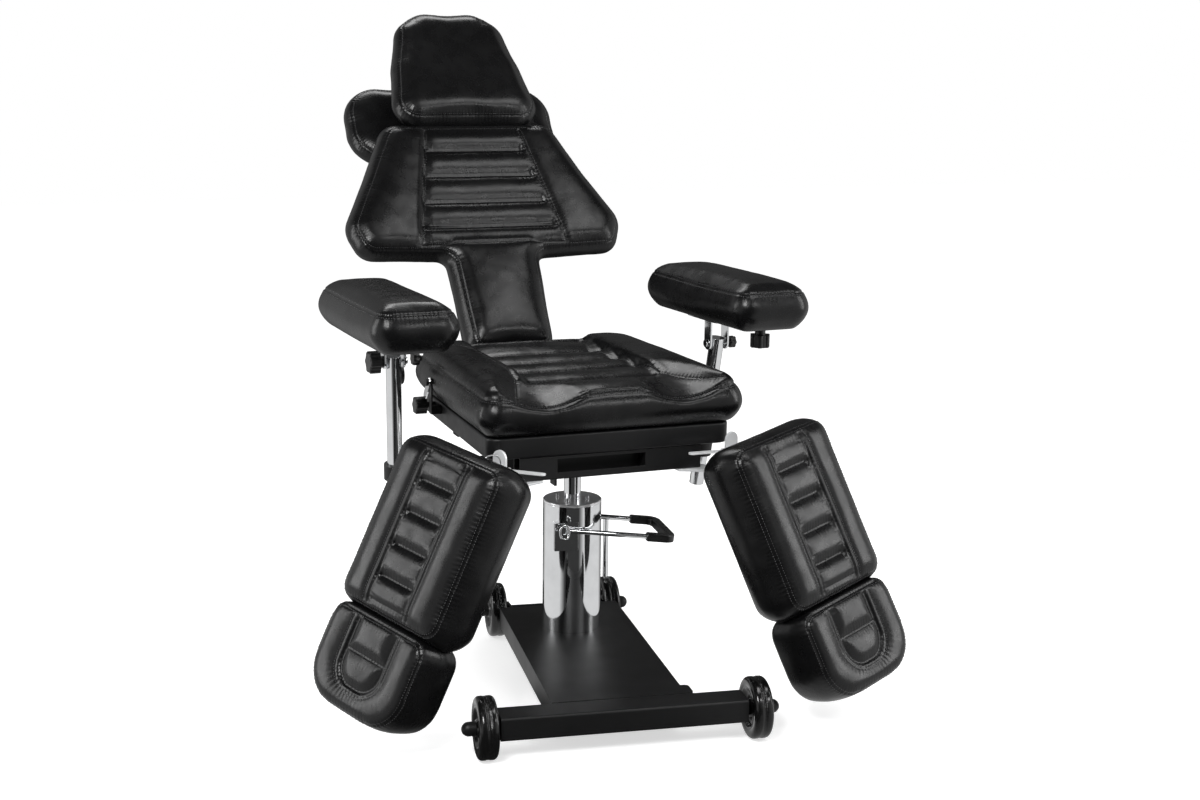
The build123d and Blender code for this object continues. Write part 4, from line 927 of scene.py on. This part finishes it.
def wheel_mesh():
    """Round wheel about its own x axis, with a tread map for the ribs."""
    half, radius, edge, bore, dish = 0.019, 0.0615, 0.009, 0.0083, 0.009
    face = [(0, bore), (0, 0.0165), (0.0075, 0.0195), (dish, 0.0215), (dish, 0.0300), (0.006, 0.0345),
            (0.001, 0.0385), (0, 0.0405), (0.0012, 0.0420), (0, 0.0436), (0, radius - edge)]
    side = [(-half + depth, ring) for depth, ring in face]
    side += [(-half + edge - edge * math.cos(turn), radius - edge + edge * math.sin(turn))
             for turn in np.linspace(0.2, math.pi / 2, 7)]
    side += [(-0.0062, radius), (-0.0044, radius), (-0.0034, radius - 0.0008)]
    profile = [*side, *[(-x, r) for x, r in reversed(side)]]
    shape = bmesh.new()
    chain = [shape.verts.new((x, 0, r)) for x, r in profile]
    edges = [shape.edges.new(pair) for pair in zip(chain, chain[1:])]
    edges.append(shape.edges.new((chain[-1], chain[0])))
    bmesh.ops.spin(shape, geom=chain + edges, cent=(0, 0, 0), axis=(1, 0, 0), dvec=(0, 0, 0),
                   angle=2 * math.pi, steps=96, use_merge=True)
    layer = shape.loops.layers.uv.new("tread")
    for face in shape.faces:
        middle = face.calc_center_median()
        centre = math.atan2(middle.y, middle.z)
        for loop in face.loops:
            place = loop.vert.co
            turn = math.atan2(place.y, place.z)
            turn += round((centre - turn) / (2 * math.pi)) * 2 * math.pi
            on_tread = abs(place.x) < 0.005 and math.hypot(place.y, place.z) > radius - 0.002
            loop[layer].uv = (turn / (2 * math.pi), float(on_tread))
    return written(shape, bpy.data.meshes.new("wheel"))


class CHAIR_OT_wheels(bpy.types.Operator):
    """Make the four black wheels"""
    bl_idname = "chair.wheels"
    bl_label = "Make Wheels"

    def execute(self, context):
        made = wheel_mesh()
        for end in ("front", "rear"):
            for name, _ in SIDES:
                low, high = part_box(f"wheel_{end}_{name}")
                mesh = made.copy()
                mesh.transform(Matrix.Translation((low + high) / 2) @ Matrix.Rotation(BASE_TURN, 4, "Z"))
                piece = finished(mesh, f"tyre_{end}_{name}", "chair_wheel", f"{end}_wheel_{name}")
                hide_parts(f"wheel_{end}_{name}")
        return {"FINISHED"}


class CHAIR_OT_hardware(bpy.types.Operator):
    """Give every CAD piece that shows its finish"""
    bl_idname = "chair.hardware"
    bl_label = "Finish Hardware"

    def execute(self, context):
        materials = finishes()
        for row in frame["record"]["subparts"]:
            node = NODES[row["node"]]
            finish = materials[SLOT_FINISH[row["material_slot"]]]
            finish = materials[OWN_FINISH.get(row["node"], finish.name)]
            for slot in node.material_slots:
                slot.material = finish
        return {"FINISHED"}


def wire(points, radius, closed=False):
    """Mesh of a round wire bent through points."""
    curve = bpy.data.curves.new("wire", "CURVE")
    curve.dimensions = "3D"
    curve.bevel_depth = radius
    curve.bevel_resolution = 3
    curve.resolution_u = 6
    curve.use_fill_caps = True
    line = curve.splines.new("BEZIER")
    line.bezier_points.add(len(points) - 1)
    for knot, place in zip(line.bezier_points, points):
        knot.co = place
        knot.handle_left_type = knot.handle_right_type = "AUTO"
    line.use_cyclic_u = closed
    mesh = applied(placed("wire", curve))
    return written(opened(mesh), mesh)


def turned(profile, place, axis, lobes=0, lobe_depth=0.0, steps=48):
    """Mesh of a profile of (along, radius) pairs spun about an axis, with lobes round it if asked."""
    shape = bmesh.new()
    chain = [shape.verts.new((0, radius, along)) for along, radius in profile]
    edges = [shape.edges.new(pair) for pair in zip(chain, chain[1:])]
    bmesh.ops.spin(shape, geom=chain + edges, cent=(0, 0, 0), axis=(0, 0, 1), dvec=(0, 0, 0),
                   angle=2 * math.pi, steps=steps, use_merge=True)
    bmesh.ops.remove_doubles(shape, verts=shape.verts, dist=0.00001)
    for vert in shape.verts:
        share = 1 - lobe_depth * (0.5 - 0.5 * math.cos(lobes * math.atan2(vert.co.y, vert.co.x)))
        vert.co.x *= share
        vert.co.y *= share
    turn = Vector((0, 0, 1)).rotation_difference(Vector(axis)).to_matrix().to_4x4()
    bmesh.ops.transform(shape, matrix=Matrix.Translation(place) @ turn, verts=shape.verts)
    return written(shape, bpy.data.meshes.new("turned"))


# Small fittings: a closed ring, a bent wire, and profiles of (along, radius) pairs
AXIS = 0.00001
EYE_PLACE, EYE_HALF_WIDTH, EYE_HALF_HEIGHT, EYE_STRAIGHT = (-0.050, -0.088, 0.329), 0.009, 0.008, 0.007
BAIL = [(-0.302, -0.306, 0.552), (-0.298, -0.306, 0.561), (-0.285, -0.306, 0.566),
        (-0.271, -0.306, 0.562), (-0.266, -0.306, 0.548), (-0.265, -0.306, 0.536)]
DISC_PLACE, KNOB_PLACE = (-0.2805, 0.372, 0.604), (-0.2785, 0.214, 0.668)
DISC = [(0, AXIS), (0, 0.0225), (0.0015, 0.024), (0.0085, 0.024), (0.010, 0.0225), (0.010, AXIS)]
KNOB = [(0, AXIS), (0, 0.006), (0.006, 0.0065), (0.0065, 0.0145), (0.009, 0.016), (0.020, 0.016),
        (0.0225, 0.0135), (0.023, AXIS)]


class CHAIR_OT_details(bpy.types.Operator):
    """Make the small fittings that the CAD leaves out"""
    bl_idname = "chair.details"
    bl_label = "Make Details"

    def execute(self, context):
        ring = [Vector(EYE_PLACE) + Vector((
                    EYE_HALF_WIDTH * math.cos(turn), 0.0012 * math.sin(turn),
                    EYE_HALF_HEIGHT * math.sin(turn) + math.copysign(EYE_STRAIGHT, math.sin(turn))))
                for turn in np.linspace(0.3, 2 * math.pi + 0.3, 12, endpoint=False)]
        finished(wire(ring, 0.0022, closed=True), "lever_eye", "chair_chrome", "pump_lever")
        finished(wire(BAIL, 0.0014), "bracket_wire", "chair_steel", "leg_swing_left")
        finished(turned(DISC, DISC_PLACE, (-1, 0, 0)), "hinge_disc", "chair_knob", "seat")
        finished(turned(KNOB, KNOB_PLACE, (-1, 0, 0), lobes=7, lobe_depth=0.16, steps=84), "side_knob",
                 "chair_knob", "seat")
        return {"FINISHED"}


# Stage


LAMPS = {
    "key": ((-1.9, -2.4, 2.9), (0, 0, 0.7), 1.1, 1.1, 95),
    "top": ((0.1, 2.2, 3.4), (0, 0.2, 0.8), 2.0, 0.9, 36),
    "front_top": ((0.85, -0.85, 2.9), (0, 0.5, 0.9), 1.4, 0.8, 18),
    "front_low": ((1.1, -2.7, 2.3), (0, 0.6, 1.1), 1.0, 0.4, 14),
    "left_strip": ((-2.6, 0.6, 1.3), (0, 0.1, 0.8), 0.6, 2.2, 26),
    "right_strip": ((2.5, -1.2, 1.5), (0.2, 0, 0.7), 0.5, 2.2, 26),
}


def softbox(name, place, target, width, height, power):
    """Soft lamp that faces a target."""
    light = bpy.data.lights.new(name, "AREA")
    light.shape = "RECTANGLE"
    light.size, light.size_y = width, height
    light.energy = power
    lamp = placed(name, light)
    lamp.location = place
    lamp.rotation_euler = (Vector(target) - Vector(place)).to_track_quat("-Z", "Y").to_euler()


def surroundings(tree, heading):
    """Brightness that reflections see in a direction: dark in front and behind, white at the sides."""
    front = shader(tree, "ShaderNodeVectorMath", {0: heading, 1: (-0.351, -0.936, 0.0)},
                   operation="DOT_PRODUCT").outputs["Value"]
    ahead = spread(tree, front, 0.72, 0.04, 0.70, 0.90)
    behind = spread(tree, front, 0.10, 1.0, -0.93, -0.60)
    return shader(tree, "ShaderNodeMath", {0: ahead, 1: behind}, operation="MULTIPLY").outputs["Value"]


def add_floor(half):
    """Pale floor that keeps its shadow and stays white to the camera."""
    shape = bmesh.new()
    bmesh.ops.create_grid(shape, x_segments=1, y_segments=1, size=half)
    mesh = written(shape, bpy.data.meshes.new("floor"), outward=False, smooth=False)
    floor = placed("floor", mesh)
    material, tree, place = blank("stage_floor")
    path = shader(tree, "ShaderNodeLightPath")
    shade = shader(tree, "ShaderNodeBsdfDiffuse", {
        "Color": tone(tree, grain(tree, place, 3.0), (0.80, 0.80, 0.80), (0.82, 0.82, 0.82))})
    glow = shader(tree, "ShaderNodeEmission", {"Color": (1, 1, 1, 1), "Strength": shader(
        tree, "ShaderNodeMath", {0: path.outputs["Is Camera Ray"], 1: 0.60},
        operation="MULTIPLY").outputs["Value"]})
    both = shader(tree, "ShaderNodeAddShader", {0: shade.outputs["BSDF"], 1: glow.outputs["Emission"]})
    outward = shader(tree, "ShaderNodeVectorMath", {0: place}, operation="NORMALIZE").outputs["Vector"]
    mirrored = shader(tree, "ShaderNodeEmission", {
        "Color": (1, 1, 1, 1), "Strength": surroundings(tree, outward)})
    mix = shader(tree, "ShaderNodeMixShader", {
        "Fac": path.outputs["Is Glossy Ray"], 1: both.outputs["Shader"], 2: mirrored.outputs["Emission"]})
    shader(tree, "ShaderNodeOutputMaterial", {"Surface": mix.outputs["Shader"]})
    mesh.materials.append(material)


def add_world(scene):
    """White sky whose sides alone show in reflections."""
    world = bpy.data.worlds.new("studio")
    scene.world = world
    world.use_nodes = True
    tree = world.node_tree
    tree.nodes.clear()
    path = shader(tree, "ShaderNodeLightPath")
    heading = shader(tree, "ShaderNodeTexCoord").outputs["Generated"]
    height = shader(tree, "ShaderNodeSeparateXYZ", {"Vector": heading}).outputs["Z"]
    panels = shader(tree, "ShaderNodeMath", {
        0: surroundings(tree, heading), 1: spread(tree, height, 1.0, 0.05, 0.3, 0.7)},
        operation="MULTIPLY").outputs["Value"]
    soft = shader(tree, "ShaderNodeMix", {"Factor": path.outputs["Is Glossy Ray"], "A": 0.5, "B": panels})
    strength = shader(tree, "ShaderNodeMix", {
        "Factor": path.outputs["Is Camera Ray"], "A": soft.outputs["Result"], "B": 1.0})
    sky = shader(tree, "ShaderNodeBackground", {
        "Color": (1, 1, 1, 1), "Strength": strength.outputs["Result"]})
    shader(tree, "ShaderNodeOutputWorld", {"Surface": sky.outputs["Background"]})


def add_camera(scene, stage):
    """Camera where the photograph was taken from."""
    camera = bpy.data.cameras.new("camera")
    camera.sensor_width = 36.0
    camera.sensor_fit = "HORIZONTAL"
    camera.lens = stage.lens
    camera.shift_x, camera.shift_y = stage.shift
    camera.clip_end = 100.0
    azimuth, pitch, roll = stage.camera_turn
    ahead = Vector((math.sin(azimuth) * math.cos(pitch), math.cos(azimuth) * math.cos(pitch),
                    -math.sin(pitch)))
    level = Vector((math.cos(azimuth), -math.sin(azimuth), 0))
    upright = level.cross(ahead)
    right = level * math.cos(roll) + upright * math.sin(roll)
    up = upright * math.cos(roll) - level * math.sin(roll)
    viewer = placed("camera", camera)
    viewer.matrix_world = (Matrix.Translation(stage.camera_place)
                           @ Matrix((right, up, -ahead)).transposed().to_4x4())
    scene.camera = viewer


class CHAIR_OT_stage(bpy.types.Operator):
    """Set up the white floor, the lamps and the camera"""
    bl_idname = "chair.stage"
    bl_label = "Set Up Stage"

    def execute(self, context):
        scene = context.scene
        add_floor(scene.chair_stage.floor_half)
        add_world(scene)
        for name, values in LAMPS.items():
            softbox(name, *values)
        add_camera(scene, scene.chair_stage)
        scene.view_settings.view_transform = "Standard"
        return {"FINISHED"}


class CHAIR_PT_panel(bpy.types.Panel):
    """Builds the chair's looks"""
    bl_label = "Chair"
    bl_idname = "CHAIR_PT_panel"
    bl_space_type = "VIEW_3D"
    bl_region_type = "UI"
    bl_category = "Chair"

    def draw(self, context):
        column = self.layout.column()
        for operator in OPERATORS:
            column.operator(operator.bl_idname)
        for group in ("chair_upholstery", "chair_finish", "chair_stage"):
            settings = getattr(context.scene, group)
            box = self.layout.box()
            for name in settings.__annotations__:
                box.prop(settings, name)


OPERATORS = (CHAIR_OT_hardware, CHAIR_OT_seat, CHAIR_OT_backrest, CHAIR_OT_head_pads, CHAIR_OT_leg_pads,
             CHAIR_OT_arm_pads, CHAIR_OT_wheels, CHAIR_OT_details, CHAIR_OT_stage)
GROUPS = (("chair_upholstery", ChairUpholsterySettings), ("chair_finish", ChairFinishSettings),
          ("chair_stage", ChairStageSettings))


def register():
    for name, group in GROUPS:
        bpy.utils.register_class(group)
        setattr(bpy.types.Scene, name, bpy.props.PointerProperty(type=group))
    for operator in OPERATORS:
        bpy.utils.register_class(operator)
    bpy.utils.register_class(CHAIR_PT_panel)


def unregister():
    bpy.utils.unregister_class(CHAIR_PT_panel)
    for operator in reversed(OPERATORS):
        bpy.utils.unregister_class(operator)
    for name, group in reversed(GROUPS):
        delattr(bpy.types.Scene, name)
        bpy.utils.unregister_class(group)


def main():
    register()
    for step in ("hardware", "seat", "backrest", "head_pads", "leg_pads", "arm_pads", "wheels", "details",
                 "stage"):
        getattr(bpy.ops.chair, step)()


if __name__ == "__main__":
    main()
